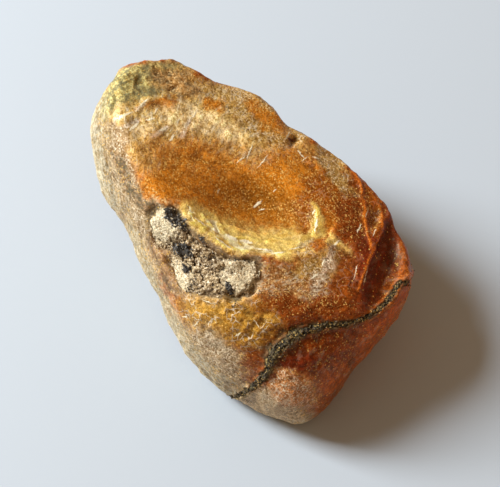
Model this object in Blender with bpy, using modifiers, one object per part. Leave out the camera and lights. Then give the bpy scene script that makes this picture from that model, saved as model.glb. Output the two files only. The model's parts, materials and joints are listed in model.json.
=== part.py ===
"""A raw amber nodule, with sandy clay stuck in a hollow of it and dark residue in its seam.

The nodule is shaped in the frame of its best side, in millimetres from its middle: a runs across that
side, b runs up it and c comes out of it. It is then turned into the part's frame, in metres, where it
lies on its worn belly with +Z up and +X along its length, from the mottled crest to the lower lobe.
"""

import math

import bmesh
import bpy
import numpy as np
from mathutils import Vector, noise
from mathutils.bvhtree import BVHTree

MM = 0.001

# The best side faces this way from the nodule's middle, which stands this high over the resting face.
SIDE_TURN = math.radians(56)
SIDE_TIP = math.radians(60)
MIDDLE = (3.08, -3.03, 17.9)

# Outline of the best side, counter-clockwise from the right: a, b
OUTLINE = (
    (28.3, 0.0), (26.3, 2.6), (25.6, 5.7), (23.3, 8.5), (19.8, 12.5), (17.6, 14.8), (14.4, 17.3),
    (7.6, 21.2), (3.0, 26.3), (-2.7, 28.4), (-5.0, 28.6), (-10.1, 31.5), (-13.4, 32.9), (-16.9, 32.0),
    (-19.7, 32.6), (-21.9, 30.3), (-24.9, 26.8), (-27.4, 21.2), (-26.4, 14.7), (-25.3, 9.2),
    (-21.5, 3.9), (-19.8, 0.0), (-18.7, -3.4), (-15.6, -8.9), (-12.6, -15.1), (-8.0, -21.8),
    (-4.5, -25.7), (0.0, -28.2), (5.5, -31.0), (9.8, -32.4), (13.0, -30.4), (17.4, -24.9),
    (19.9, -21.1), (22.5, -18.5), (24.9, -15.7), (27.8, -12.1), (29.8, -6.6), (29.3, -2.7),
)
OUTLINE_SOFTNESS = math.radians(2.5)

# Bulge of the lump in front of its outline and behind it, how much more the belly bulges towards the
# crest, and how square the sides are
FRONT_DEPTH = 18.0
BACK_DEPTH = 22.5
BELLY_LEAN = 0.55
SQUARENESS = 2.35

# The broken face slopes down to the upper right, and the outline's plane leans the same way.
FALL_A = 0.593
FALL_B = 0.805
OUTLINE_LEAN = 0.12
FACE_HEIGHT = 14.6
FACE_SLOPE = 0.50
FACE_CROWN = 0.004
RIDGE_ROUNDING = 0.9

# Swellings of the near side: a, b, radius, height
SWELLINGS = (
    (-21.0, 28.6, 5.0, 1.5),
    (-13.0, 30.0, 4.5, 1.3),
    (21.0, 4.0, 6.0, 0.9),
    (-6.0, -12.0, 9.0, 0.9),
    (14.0, -21.5, 9.0, 1.5),
    (2.0, -27.0, 6.0, 0.8),
    (-20.5, 6.0, 6.0, -1.2),
)

# Scoops broken out of the near side: a, b, half length, half width, turn, depth, and how soft the edge
# is on the side below the length and on the side above it (1 is crisp)
SCOOPS = (
    (-3.0, 10.3, 18.0, 10.5, -33, 2.2, 1.6, 2.2),
    (3.2, 6.2, 14.0, 7.6, -15, 2.5, 0.85, 2.6),
    (24.6, -3.6, 9.6, 3.2, 74, 2.4, 1.6, 0.7),
    (23.0, 5.2, 2.8, 1.6, 66, 0.8, 0.9, 0.9),
    (-3.2, 28.4, 5.0, 2.4, -24, 0.8, 1.2, 1.6),
    (8.6, 20.8, 4.4, 2.2, -42, 1.1, 1.2, 1.6),
    (15.0, 16.4, 3.6, 1.9, -38, 0.8, 1.1, 1.6),
    (8.5, 18.4, 1.2, 0.9, 20, 0.9, 0.8, 0.8),
    (-11.6, 25.6, 6.0, 2.2, -24, 0.6, 0.9, 1.8),
    (16.8, -1.2, 4.6, 2.0, -38, 0.6, 1.0, 1.6),
)

# Flats broken off the hidden sides: angle round the outline, angle behind its plane, and the share of
# the lump's reach left there. A flat only cuts where the skin faces at least this much towards it.
FLATS = (
    (78, 36, 0.90),
    (118, 40, 0.90),
    (160, 34, 0.91),
    (205, 42, 0.90),
    (246, 48, 0.92),
    (296, 58, 0.93),
    (340, 50, 0.92),
    (28, 38, 0.90),
    (56, 66, 0.92),
)
FLAT_ROUNDING = 0.8
LEAST_FACING = 0.05

# The belly is worn round where it meets the ground, with a flat resting face.
BELLY_WEAR = 0.9
RESTING_CUT = 0.35

# Weathered skin: wave length and height of each set of undulations, weaker on the broken face, which
# begins to count between these two heights over the outline's plane
SKIN_WAVES = ((13.0, 0.75), (5.0, 0.28))
FACE_WAVE_SHARE = 0.3
FACE_FROM = 6.0
FACE_TO = 12.0

# The mottled crest is lumpier than the rest: a, b, radius, wave length and height of its lumps
CREST = (-16.0, 30.0, 8.5)
CREST_WAVES = (3.4, 0.9)
CREST_SEED = 5

# The seam, along the surface: a, b, height over the outline's plane (None where it is seen from in
# front), and the half width of the residue in it
SEAM = (
    (-3.6, -27.8, -3.0, 0.40),
    (-1.4, -26.9, None, 0.50),
    (1.4, -24.7, None, 0.60),
    (3.8, -21.9, None, 0.85),
    (4.9, -18.9, None, 1.20),
    (6.8, -16.9, None, 1.25),
    (9.6, -15.0, None, 1.05),
    (13.6, -13.9, None, 0.75),
    (17.8, -13.6, None, 0.65),
    (21.6, -12.3, None, 0.65),
    (24.6, -9.8, None, 0.70),
    (26.6, -7.0, None, 0.62),
    (28.2, -4.8, 3.5, 0.60),
    (28.8, -3.6, 0.0, 0.55),
    (29.0, -3.4, -5.0, 0.50),
    (27.4, -5.4, -10.0, 0.40),
)
SEAM_STEPS = 4
SEAM_GAP = 0.30
SEAM_SINK = 0.35
VALLEY_WIDTH = 3.2
VALLEY_DEPTH = 0.9

# Clay lumps stuck in the hollow: a, b, length, width, turn, height above the amber
CLAY_LUMPS = (
    (-15.0, 4.6, 2.6, 2.1, 20, 1.5),
    (-12.9, 4.4, 2.0, 1.7, 40, 1.2),
    (-14.2, 1.4, 2.9, 2.4, 60, 1.0),
    (-11.4, 0.8, 2.7, 2.4, -50, 1.4),
    (-12.0, -2.6, 2.8, 2.3, -70, 1.2),
    (-9.2, -1.6, 2.8, 2.4, -40, 1.3),
    (-10.4, -5.2, 3.0, 2.4, -40, 1.4),
    (-7.0, -2.6, 2.6, 2.2, -30, 1.0),
    (-7.4, -6.0, 3.0, 2.4, 10, 1.2),
    (-4.2, -3.8, 2.4, 2.1, -20, 1.0),
    (-4.6, -7.0, 2.4, 2.0, 0, 0.9),
    (-2.0, -5.0, 2.5, 2.2, -20, 1.5),
    (0.6, -4.2, 2.1, 1.9, 20, 1.3),
    (0.6, -6.6, 1.9, 1.6, 40, 1.1),
    (-1.6, -7.8, 2.0, 1.6, 50, 1.2),
)
CLAY_DEPTH = 1.9
CLAY_GAP = 0.32
CLAY_GRAIN = 0.22
CLAY_GRAIN_LENGTH = 1.6
CLAY_SEED = 7.0
CLAY_VOXEL = 0.45

# Share of the nodule's triangles that are kept, and the number kept in the clay
NODULE_SHARE = 0.065
CLAY_TRIANGLES = 1200

GROUND_DEPTH = 10.0
WELD = 0.01

# Colour and roughness of each material, and how much light the amber lets through
AMBER = ((0.62, 0.24, 0.045), 0.35, 0.4)
CLAY = ((0.42, 0.33, 0.22), 0.95)
RESIDUE = ((0.045, 0.035, 0.02), 0.9)
AMBER_IOR = 1.54

FAR = 60.0


def side_axes():
    """The a, b and c axes of the best side, as rows in the part's frame."""
    turn = (math.cos(SIDE_TURN), math.sin(SIDE_TURN))
    tip = (math.cos(SIDE_TIP), math.sin(SIDE_TIP))
    return np.array([
        (turn[0], turn[1], 0.0),
        (-turn[1] * tip[1], turn[0] * tip[1], tip[0]),
        (turn[1] * tip[0], -turn[0] * tip[0], tip[1]),
    ])


def to_part(points):
    """Points of the best side's frame, in millimetres, as points of the part's frame, in metres."""
    return (np.asarray(points) @ side_axes() + MIDDLE) * MM


def outline_reach(angle):
    """Distance from the middle to the outline, at an angle round the best side."""
    corners = np.array(OUTLINE)
    corner_angle = np.arctan2(corners[:, 1], corners[:, 0])
    corner_reach = np.hypot(corners[:, 0], corners[:, 1])
    turns = OUTLINE_SOFTNESS * np.array([-1.0, -0.5, 0.0, 0.5, 1.0])
    around = [np.interp(angle + turn, corner_angle, corner_reach, period=2 * math.pi) for turn in turns]
    return np.mean(around, axis=0)


def fall(a, b):
    """How far a point lies towards the upper right, the way that the broken face slopes down."""
    return FALL_A * a + FALL_B * b


def smooth_min(first, second, rounding):
    """The lesser of two surfaces, with their meeting edge rounded."""
    blend = np.clip(0.5 + 0.5 * (second - first) / rounding, 0, 1)
    return second + (first - second) * blend - rounding * blend * (1 - blend)


def fade(value, start, end):
    """0 at start, 1 at end, and smooth between."""
    share = np.clip((value - start) / (end - start), 0, 1)
    return share * share * (3 - 2 * share)


def scoop_depth(a, b, scoop):
    """Depth of one scoop at each point: a dish in an ellipse, with its own softness on either side."""
    at_a, at_b, half_length, half_width, turn, depth, soft_below, soft_above = scoop
    turn = math.radians(turn)
    along = (a - at_a) * math.cos(turn) + (b - at_b) * math.sin(turn)
    over = (b - at_b) * math.cos(turn) - (a - at_a) * math.sin(turn)
    inside = np.clip(1 - (along / half_length) ** 2 - (over / half_width) ** 2, 0, 1)
    softness = soft_below + (soft_above - soft_below) * fade(over, -half_width / 2, half_width / 2)
    return depth * inside**softness


def distance_to_seam(a, b):
    """Distance in the best side's plane from each point to the seam's path."""
    nearest = np.full(a.shape, FAR)
    for (a0, b0, *_), (a1, b1, *_) in zip(SEAM, SEAM[1:]):
        run = (a1 - a0) ** 2 + (b1 - b0) ** 2
        share = np.clip(((a - a0) * (a1 - a0) + (b - b0) * (b1 - b0)) / run, 0, 1)
        gap = np.hypot(a - a0 - share * (a1 - a0), b - b0 - share * (b1 - b0))
        nearest = np.minimum(nearest, gap)
    return nearest


def near_side(a, b, c):
    """Height of the near side over the outline's plane: the lump, its broken face and its hollows."""
    for at_a, at_b, radius, height in SWELLINGS:
        c = c + height * np.exp(-((a - at_a) ** 2 + (b - at_b) ** 2) / radius**2)
    slope = fall(a, b)
    face = FACE_HEIGHT - FACE_SLOPE * slope - FACE_CROWN * np.clip(slope, 0, None) ** 2
    c = smooth_min(c, face, RIDGE_ROUNDING)
    for scoop in SCOOPS:
        c = c - scoop_depth(a, b, scoop)
    return c - VALLEY_DEPTH * np.exp(-((distance_to_seam(a, b) / VALLEY_WIDTH) ** 2))


def lump_reach(directions):
    """Distance from the middle to the lump's skin, in each direction: a squarish body, less its flats."""
    angle = np.arctan2(directions[:, 1], directions[:, 0])
    across = np.hypot(directions[:, 0], directions[:, 1]) / outline_reach(angle)
    belly = BACK_DEPTH * (1 + BELLY_LEAN * directions[:, 1])
    depth = np.where(directions[:, 2] > 0, FRONT_DEPTH, belly)
    through = np.abs(directions[:, 2]) / depth
    reach = (across**SQUARENESS + through**SQUARENESS) ** (-1 / SQUARENESS)
    for turn, behind, share in FLATS:
        turn, behind = math.radians(turn), math.radians(behind)
        level = math.cos(behind)
        facing = directions @ (level * math.cos(turn), level * math.sin(turn), -math.sin(behind))
        flat = share * (facing * reach).max() / np.maximum(facing, LEAST_FACING)
        reach = np.where(facing > LEAST_FACING, smooth_min(reach, flat, FLAT_ROUNDING), reach)
    return reach


def broken_height(points, near):
    """Height of each point once the near side is broken: the hidden side is only trimmed by it."""
    a, b, c = points.T
    share = np.hypot(a, b) / outline_reach(np.arctan2(b, a))
    bulge = np.clip(1 - share**SQUARENESS, 0, 1) ** (1 / SQUARENESS)
    over = near_side(a, b, OUTLINE_LEAN * fall(a, b) + FRONT_DEPTH * bulge)
    return np.where(near, near_side(a, b, c), np.minimum(c, over))


def waves(points, length, seed):
    """Smooth noise between about -1 and 1, with the given wave length."""
    shift = Vector((seed, 2.0 * seed, 3.0 * seed))
    return np.array([noise.noise(Vector(point) / length + shift) for point in points])


def nodule_points(directions):
    """Points of the nodule's skin in the part's frame, in metres, one for each direction."""
    points = directions * lump_reach(directions)[:, None]
    points[:, 2] += OUTLINE_LEAN * fall(points[:, 0], points[:, 1])
    for seed, (length, height) in enumerate(SKIN_WAVES, start=1):
        share = 1 - (1 - FACE_WAVE_SHARE) * fade(points[:, 2], FACE_FROM, FACE_TO)
        points += directions * (height * share * waves(points, length, seed))[:, None]
    at_a, at_b, radius = CREST
    length, height = CREST_WAVES
    share = np.exp(-((points[:, 0] - at_a) ** 2 + (points[:, 1] - at_b) ** 2) / radius**2)
    crest_lumps = height * share * waves(points, length, CREST_SEED)
    points[:, 2] = broken_height(points, directions[:, 2] > 0)
    points += directions * crest_lumps[:, None]
    placed = to_part(points)
    wear = BELLY_WEAR * MM
    placed[:, 2] = wear * np.logaddexp(0, placed[:, 2] / wear)
    return placed


def plain_material(name, colour, roughness, transmission=0.0):
    material = bpy.data.materials.new(name)
    material.use_nodes = True
    shader = material.node_tree.nodes["Principled BSDF"]
    shader.inputs["Base Color"].default_value = (*colour, 1.0)
    shader.inputs["Roughness"].default_value = roughness
    shader.inputs["Metallic"].default_value = 0.0
    shader.inputs["IOR"].default_value = AMBER_IOR
    shader.inputs["Transmission Weight"].default_value = transmission
    material.diffuse_color = (*colour, 1.0)
    return material


def collection_named(name):
    collection = bpy.data.collections.new(name)
    bpy.context.scene.collection.children.link(collection)
    return collection


def move_to(piece, collection):
    for holder in list(piece.users_collection):
        holder.objects.unlink(piece)
    collection.objects.link(piece)


def hide_cutter(cutter, collection):
    move_to(cutter, collection)
    cutter.hide_render = True
    cutter.display_type = "WIRE"


def apply_modifiers(piece):
    bpy.ops.object.select_all(action="DESELECT")
    piece.select_set(True)
    bpy.context.view_layer.objects.active = piece
    for modifier in list(piece.modifiers):
        bpy.ops.object.modifier_apply(modifier=modifier.name)


def ball(name, subdivisions, points_of):
    """An icosphere whose corners are moved to where points_of puts them."""
    bpy.ops.mesh.primitive_ico_sphere_add(subdivisions=subdivisions, radius=1.0)
    piece = bpy.context.object
    piece.name = piece.data.name = name
    directions = np.empty(len(piece.data.vertices) * 3)
    piece.data.vertices.foreach_get("co", directions)
    directions = directions.reshape(-1, 3)
    directions /= np.linalg.norm(directions, axis=1)[:, None]
    piece.data.vertices.foreach_set("co", points_of(directions).ravel())
    piece.data.update()
    return piece


def nodule_blank():
    """The nodule before its hollow, its groove and its resting face are cut."""
    piece = ball("amber_nodule", 7, nodule_points)
    fewer = piece.modifiers.new("fewer triangles", "DECIMATE")
    fewer.ratio = NODULE_SHARE
    apply_modifiers(piece)
    return piece


def skin_tree(piece):
    """A search tree of a piece's skin."""
    mesh = bmesh.new()
    mesh.from_mesh(piece.data)
    tree = BVHTree.FromBMesh(mesh)
    mesh.free()
    return tree


def skin_at(tree, a, b, c=None):
    """The point and outward normal of the skin in front of a and b or, with c, the nearest point."""
    if c is None:
        point, normal, _, _ = tree.ray_cast(Vector(to_part((a, b, FAR))), Vector(-side_axes()[2]))
    else:
        point, normal, _, _ = tree.find_nearest(Vector(to_part((a, b, c))))
    return point, normal


def seam_path(tree):
    """Points just under the skin along a smooth curve through the seam's own points, with half widths."""
    corners = [skin_at(tree, a, b, c)[0] for a, b, c, _ in SEAM]
    widths = [width for *_, width in SEAM]
    ends = [2 * corners[0] - corners[1]] + corners + [2 * corners[-1] - corners[-2]]
    path = []
    for k in range(len(corners) - 1):
        before, here, there, after = ends[k:k + 4]
        for step in range(SEAM_STEPS + (k == len(corners) - 2)):
            share = step / SEAM_STEPS
            bend = (there - before) * share + (2 * before - 5 * here + 4 * there - after) * share**2
            bend += (3 * here - before - 3 * there + after) * share**3
            point, normal, _, _ = tree.find_nearest(here + bend / 2)
            width = widths[k] + (widths[k + 1] - widths[k]) * share
            path.append((point - normal * SEAM_SINK * MM, width))
    return path


def seam_tube(name, tree, extra):
    """A closed tube along the seam, sunk in the skin: the residue, or the groove with extra width."""
    path = seam_path(tree)
    curve = bpy.data.curves.new(name, "CURVE")
    curve.dimensions = "3D"
    curve.bevel_depth = MM
    curve.bevel_resolution = 2
    curve.use_fill_caps = True
    line = curve.splines.new("POLY")
    line.points.add(len(path) - 1)
    for place, (point, width) in zip(line.points, path):
        place.co = (*point, 1.0)
        place.radius = width + extra
    guide = bpy.data.objects.new(name, curve)
    bpy.context.scene.collection.objects.link(guide)
    graph = bpy.context.evaluated_depsgraph_get()
    tube_mesh = bpy.data.meshes.new_from_object(guide.evaluated_get(graph))
    bpy.data.objects.remove(guide)
    mesh = bmesh.new()
    mesh.from_mesh(tube_mesh)
    bmesh.ops.remove_doubles(mesh, verts=mesh.verts, dist=WELD * MM)
    bmesh.ops.recalc_face_normals(mesh, faces=mesh.faces)
    mesh.to_mesh(tube_mesh)
    mesh.free()
    tube = bpy.data.objects.new(name, tube_mesh)
    bpy.context.scene.collection.objects.link(tube)
    return tube


def clay_lumps(name, tree, extra):
    """The clay's lumps fused into one crust, or the hollow it sits in, with extra size."""
    lumps = []
    for a, b, length, width, turn, height in CLAY_LUMPS:
        point, normal = skin_at(tree, a, b)
        bpy.ops.mesh.primitive_ico_sphere_add(subdivisions=4, radius=1.0)
        lump = bpy.context.object
        tall = (height + CLAY_DEPTH) / 2 + extra
        lump.scale = ((length + extra) * MM, (width + extra) * MM, tall * MM)
        across = Vector(side_axes()[0])
        across = (across - normal * across.dot(normal)).normalized()
        basis = np.array([across, normal.cross(across), normal]).T
        spin = math.radians(turn)
        turned = np.array([
            (math.cos(spin), -math.sin(spin), 0.0),
            (math.sin(spin), math.cos(spin), 0.0),
            (0.0, 0.0, 1.0),
        ])
        corners = np.empty(len(lump.data.vertices) * 3)
        lump.data.vertices.foreach_get("co", corners)
        corners = corners.reshape(-1, 3) * np.array(lump.scale) @ turned.T @ basis.T
        corners += np.array(point + normal * (height - CLAY_DEPTH) / 2 * MM)
        lump.scale = (1.0, 1.0, 1.0)
        lump.data.vertices.foreach_set("co", corners.ravel())
        lump.data.update()
        lumps.append(lump)
    bpy.ops.object.select_all(action="DESELECT")
    for lump in lumps:
        lump.select_set(True)
    bpy.context.view_layer.objects.active = lumps[0]
    bpy.ops.object.join()
    crust = bpy.context.object
    crust.name = crust.data.name = name
    fused = crust.modifiers.new("fused", "REMESH")
    fused.mode = "VOXEL"
    fused.voxel_size = CLAY_VOXEL * MM
    apply_modifiers(crust)
    return crust


def roughen(piece, height, length, seed):
    """Pushes the corners in and out along their normals by smooth noise."""
    mesh = bmesh.new()
    mesh.from_mesh(piece.data)
    mesh.normal_update()
    shift = Vector((seed, seed, seed))
    moves = [corner.normal * noise.noise(corner.co / (length * MM) + shift) for corner in mesh.verts]
    for corner, move in zip(mesh.verts, moves):
        corner.co += move * height * MM
    mesh.to_mesh(piece.data)
    mesh.free()


def thin_out(piece, triangles):
    fewer = piece.modifiers.new("fewer triangles", "DECIMATE")
    count = sum(len(face.vertices) - 2 for face in piece.data.polygons)
    fewer.ratio = min(1.0, triangles / count)
    apply_modifiers(piece)


def cut_from(piece, cutter):
    cut = piece.modifiers.new(cutter.name, "BOOLEAN")
    cut.operation = "DIFFERENCE"
    cut.solver = "EXACT"
    cut.object = cutter


def ground_block():
    """A block whose top is the level at which the belly is cut flat."""
    depth = GROUND_DEPTH * MM
    bpy.ops.mesh.primitive_cube_add(size=1.0)
    block = bpy.context.object
    block.name = "ground_block"
    block.scale = (2 * FAR * MM, 2 * FAR * MM, depth)
    block.location = (0.0, 0.0, RESTING_CUT * MM - depth / 2)
    bpy.ops.object.transform_apply(location=True, rotation=False, scale=True)
    return block


def stand_on_origin(pieces):
    """Moves the pieces so that the nodule's resting face is at Z = 0."""
    for piece in pieces:
        for corner in piece.data.vertices:
            corner.co.z -= RESTING_CUT * MM


def main():
    for old in list(bpy.data.objects):
        bpy.data.objects.remove(old)
    parts = collection_named("raw_amber_piece")
    cutters = collection_named("cutters")

    nodule = nodule_blank()
    tree = skin_tree(nodule)

    residue = seam_tube("seam_filling", tree, 0.0)
    groove = seam_tube("seam_groove", tree, SEAM_GAP)
    crust = clay_lumps("clay_crust", tree, 0.0)
    roughen(crust, CLAY_GRAIN, CLAY_GRAIN_LENGTH, CLAY_SEED)
    thin_out(crust, CLAY_TRIANGLES)
    hollow = clay_lumps("clay_hollow", tree, CLAY_GAP + CLAY_GRAIN / 2)
    thin_out(hollow, CLAY_TRIANGLES)
    ground = ground_block()

    for cutter in (groove, hollow, ground):
        cut_from(nodule, cutter)
    apply_modifiers(nodule)
    stand_on_origin((nodule, residue, crust))

    looks = {
        nodule: plain_material("amber", *AMBER),
        crust: plain_material("clay", *CLAY),
        residue: plain_material("residue", *RESIDUE),
    }
    for piece, material in looks.items():
        piece.data.materials.clear()
        piece.data.materials.append(material)
        move_to(piece, parts)
    for cutter in (groove, hollow, ground):
        hide_cutter(cutter, cutters)


main()
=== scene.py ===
import json
import math
import random

import bpy
import numpy as np
from mathutils import Matrix, Vector, noise
from mathutils.bvhtree import BVHTree
from mathutils.kdtree import KDTree

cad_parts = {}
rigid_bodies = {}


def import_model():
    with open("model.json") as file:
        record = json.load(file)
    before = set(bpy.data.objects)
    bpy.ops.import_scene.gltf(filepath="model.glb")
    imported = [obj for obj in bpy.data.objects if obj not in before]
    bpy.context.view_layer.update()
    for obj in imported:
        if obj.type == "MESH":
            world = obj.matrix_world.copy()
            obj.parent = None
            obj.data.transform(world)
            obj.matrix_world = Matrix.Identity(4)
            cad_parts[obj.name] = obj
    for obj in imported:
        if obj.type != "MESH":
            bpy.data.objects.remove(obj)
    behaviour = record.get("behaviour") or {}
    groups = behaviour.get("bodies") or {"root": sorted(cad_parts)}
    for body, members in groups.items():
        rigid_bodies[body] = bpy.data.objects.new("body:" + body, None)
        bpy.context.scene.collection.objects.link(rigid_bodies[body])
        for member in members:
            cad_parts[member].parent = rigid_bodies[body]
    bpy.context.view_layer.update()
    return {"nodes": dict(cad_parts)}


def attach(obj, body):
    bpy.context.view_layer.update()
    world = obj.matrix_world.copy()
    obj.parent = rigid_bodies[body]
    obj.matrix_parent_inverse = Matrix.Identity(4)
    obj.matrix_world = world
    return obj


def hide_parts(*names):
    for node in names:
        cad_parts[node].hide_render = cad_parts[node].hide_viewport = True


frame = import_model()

mm = 0.001

# The piece is worked from its best side: a runs to the right of that side, b up it and c out of it.
bestSide = {
    "turn": 56.0,                    # degrees about the upright axis
    "tip": 60.0,                     # degrees up from the floor
    "middle": (3.08, -3.03, 17.55),  # millimetres in the part's frame
}


def sideAxes():
    turn = math.radians(bestSide["turn"])
    tip = math.radians(bestSide["tip"])
    rightward = Vector((math.cos(turn), math.sin(turn), 0))
    outward = Vector((math.sin(turn) * math.cos(tip), -math.cos(turn) * math.cos(tip), math.sin(tip)))
    upward = outward.cross(rightward)
    return rightward, upward, outward


rightward, upward, outward = sideAxes()
sideRows = np.array([rightward, upward, outward])
middle = np.array(bestSide["middle"])


def toSide(points):
    # part coordinates in metres to a, b, c in millimetres
    return (points / mm - middle) @ sideRows.T


def fromSide(points):
    return (np.asarray(points, float) @ sideRows + middle) * mm


def tint(red, green, blue):
    # a colour chosen on screen, from 0 to 255, made linear
    shares = np.array([red, green, blue]) / 255
    return np.where(shares < 0.04045, shares / 12.92, ((shares + 0.055) / 1.055) ** 2.4)


def ease(low, high, values):
    # 0 below low, 1 above high, and smooth between
    steps = np.clip((values - low) / (high - low), 0, 1)
    return steps * steps * (3 - 2 * steps)


def wobble(points, size, seed, octaves=3):
    # smooth noise, roughly -1 to 1, with bumps of that size in the unit of the points
    shift = Vector((seed * 7.3, seed * 3.1, seed * 5.7))
    scaled = points / size
    return np.array([noise.fractal(Vector(p) + shift, 1.0, 2.0, octaves) for p in scaled])


def folded(points, size, seed, octaves, level=0.3):
    # the same noise folded into ridges that stand up to that level
    return level - np.abs(wobble(points, size, seed, octaves))


# working on a mesh
def pickOnly(*things):
    bpy.ops.object.select_all(action="DESELECT")
    for thing in things:
        thing.select_set(True)
    bpy.context.view_layer.objects.active = things[0]


def finishWith(thing, kind, **values):
    # adds one modifier and applies it
    pickOnly(thing)
    modifier = thing.modifiers.new(kind.title(), kind)
    for name, value in values.items():
        setattr(modifier, name, value)
    bpy.ops.object.modifier_apply(modifier=modifier.name)


def roughenWith(thing, kind, size, height, **values):
    # moves the surface in and out by a cloud or cell texture
    texture = bpy.data.textures.new(kind.title(), kind)
    texture.noise_scale = size
    for name, value in values.items():
        setattr(texture, name, value)
    finishWith(thing, "DISPLACE", texture=texture, strength=height, mid_level=0.5,
               texture_coords="LOCAL")


def pointsOf(thing):
    points = np.empty(len(thing.data.vertices) * 3)
    thing.data.vertices.foreach_get("co", points)
    return points.reshape(-1, 3)


def normalsOf(thing):
    normals = np.empty(len(thing.data.vertices) * 3)
    thing.data.vertices.foreach_get("normal", normals)
    return normals.reshape(-1, 3)


def setPoints(thing, points):
    thing.data.vertices.foreach_set("co", points.reshape(-1))
    thing.data.update()


def shadeSmooth(thing):
    pickOnly(thing)
    bpy.ops.object.shade_smooth()


def newThing(name, data):
    thing = bpy.data.objects.new(name, data)
    bpy.context.scene.collection.objects.link(thing)
    return thing


def copyNode(node, name, swell=0.0):
    # a closed copy of a CAD node's mesh, to be worked finer
    mesh = frame["nodes"][node].data.copy()
    mesh.materials.clear()
    mesh.name = name
    piece = newThing(name, mesh)
    pickOnly(piece)
    bpy.ops.object.mode_set(mode="EDIT")
    bpy.ops.mesh.select_all(action="SELECT")
    bpy.ops.mesh.remove_doubles(threshold=0.00001)
    bpy.ops.mesh.customdata_custom_splitnormals_clear()
    bpy.ops.object.mode_set(mode="OBJECT")
    setPoints(piece, pointsOf(piece) + normalsOf(piece) * swell)
    return piece


def keepMask(thing, name, values):
    layer = thing.data.attributes.new(name, "FLOAT", "POINT")
    layer.data.foreach_set("value", np.clip(values, 0, 1).astype(np.float32))


def triangleCount(thing):
    thing.data.calc_loop_triangles()
    return len(thing.data.loop_triangles)


def treeOf(thing):
    thing.data.calc_loop_triangles()
    corners = [tuple(triangle.vertices) for triangle in thing.data.loop_triangles]
    return BVHTree.FromPolygons([vertex.co for vertex in thing.data.vertices], corners)


def skinAt(tree, right, up, height=None):
    # the point of the surface seen at a, b, or nearest to a, b, c where it is out of sight
    if height is None:
        place, normal = tree.ray_cast(Vector(fromSide((right, up, 60.0))), -outward)[:2]
        if place is not None:
            return place, normal
        height = 0.0
    return tree.find_nearest(Vector(fromSide((right, up, height))))[:2]


# places on the best side, in millimetres a, b
def blobMask(side, at, size, turn=0.0, soft=0.35):
    # 1 inside an ellipse and 0 outside, over a soft share of its radius
    angle = math.radians(turn)
    right = side[:, 0] - at[0]
    up = side[:, 1] - at[1]
    along = (right * math.cos(angle) + up * math.sin(angle)) / size[0]
    across = (up * math.cos(angle) - right * math.sin(angle)) / size[1]
    return 1 - ease(1 - soft, 1 + soft, np.hypot(along, across))


def lineDistance(side, line):
    # distance to a polyline, its sign (plus to the left of the way it runs) and the place along it
    best = np.full(len(side), 1e9)
    sign = np.zeros(len(side))
    place = np.zeros(len(side))
    ends = np.array(line, float)
    lengths = np.hypot(*(ends[1:] - ends[:-1]).T)
    total = lengths.sum()
    gone = 0.0
    for start, end, length in zip(ends[:-1], ends[1:], lengths):
        way = (end - start) / length
        offset = side[:, :2] - start
        run = np.clip(offset @ way, 0, length)
        distance = np.hypot(*(offset - run[:, None] * way).T)
        nearer = distance < best
        best = np.where(nearer, distance, best)
        sign = np.where(nearer, np.sign(way[0] * offset[:, 1] - way[1] * offset[:, 0]), sign)
        place = np.where(nearer, (gone + run) / total, place)
        gone += length
    return best, sign, place


def ellipse(finish, at, size, turn=0, wraps=False):
    # a patch by its centre, half sizes and turn; one that wraps runs on round the edge
    return {"finish": finish, "at": at, "size": size, "turn": turn, "wraps": wraps}


def band(finish, width, *line, wraps=False):
    # a patch along a line
    return {"finish": finish, "width": width, "line": line, "wraps": wraps}


def patchMask(side, patch):
    if "line" in patch:
        distance = lineDistance(side, patch["line"])[0]
        return 1 - ease(patch["width"] * 0.5, patch["width"] * 1.5, distance)
    return blobMask(side, patch["at"], patch["size"], patch["turn"])


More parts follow.
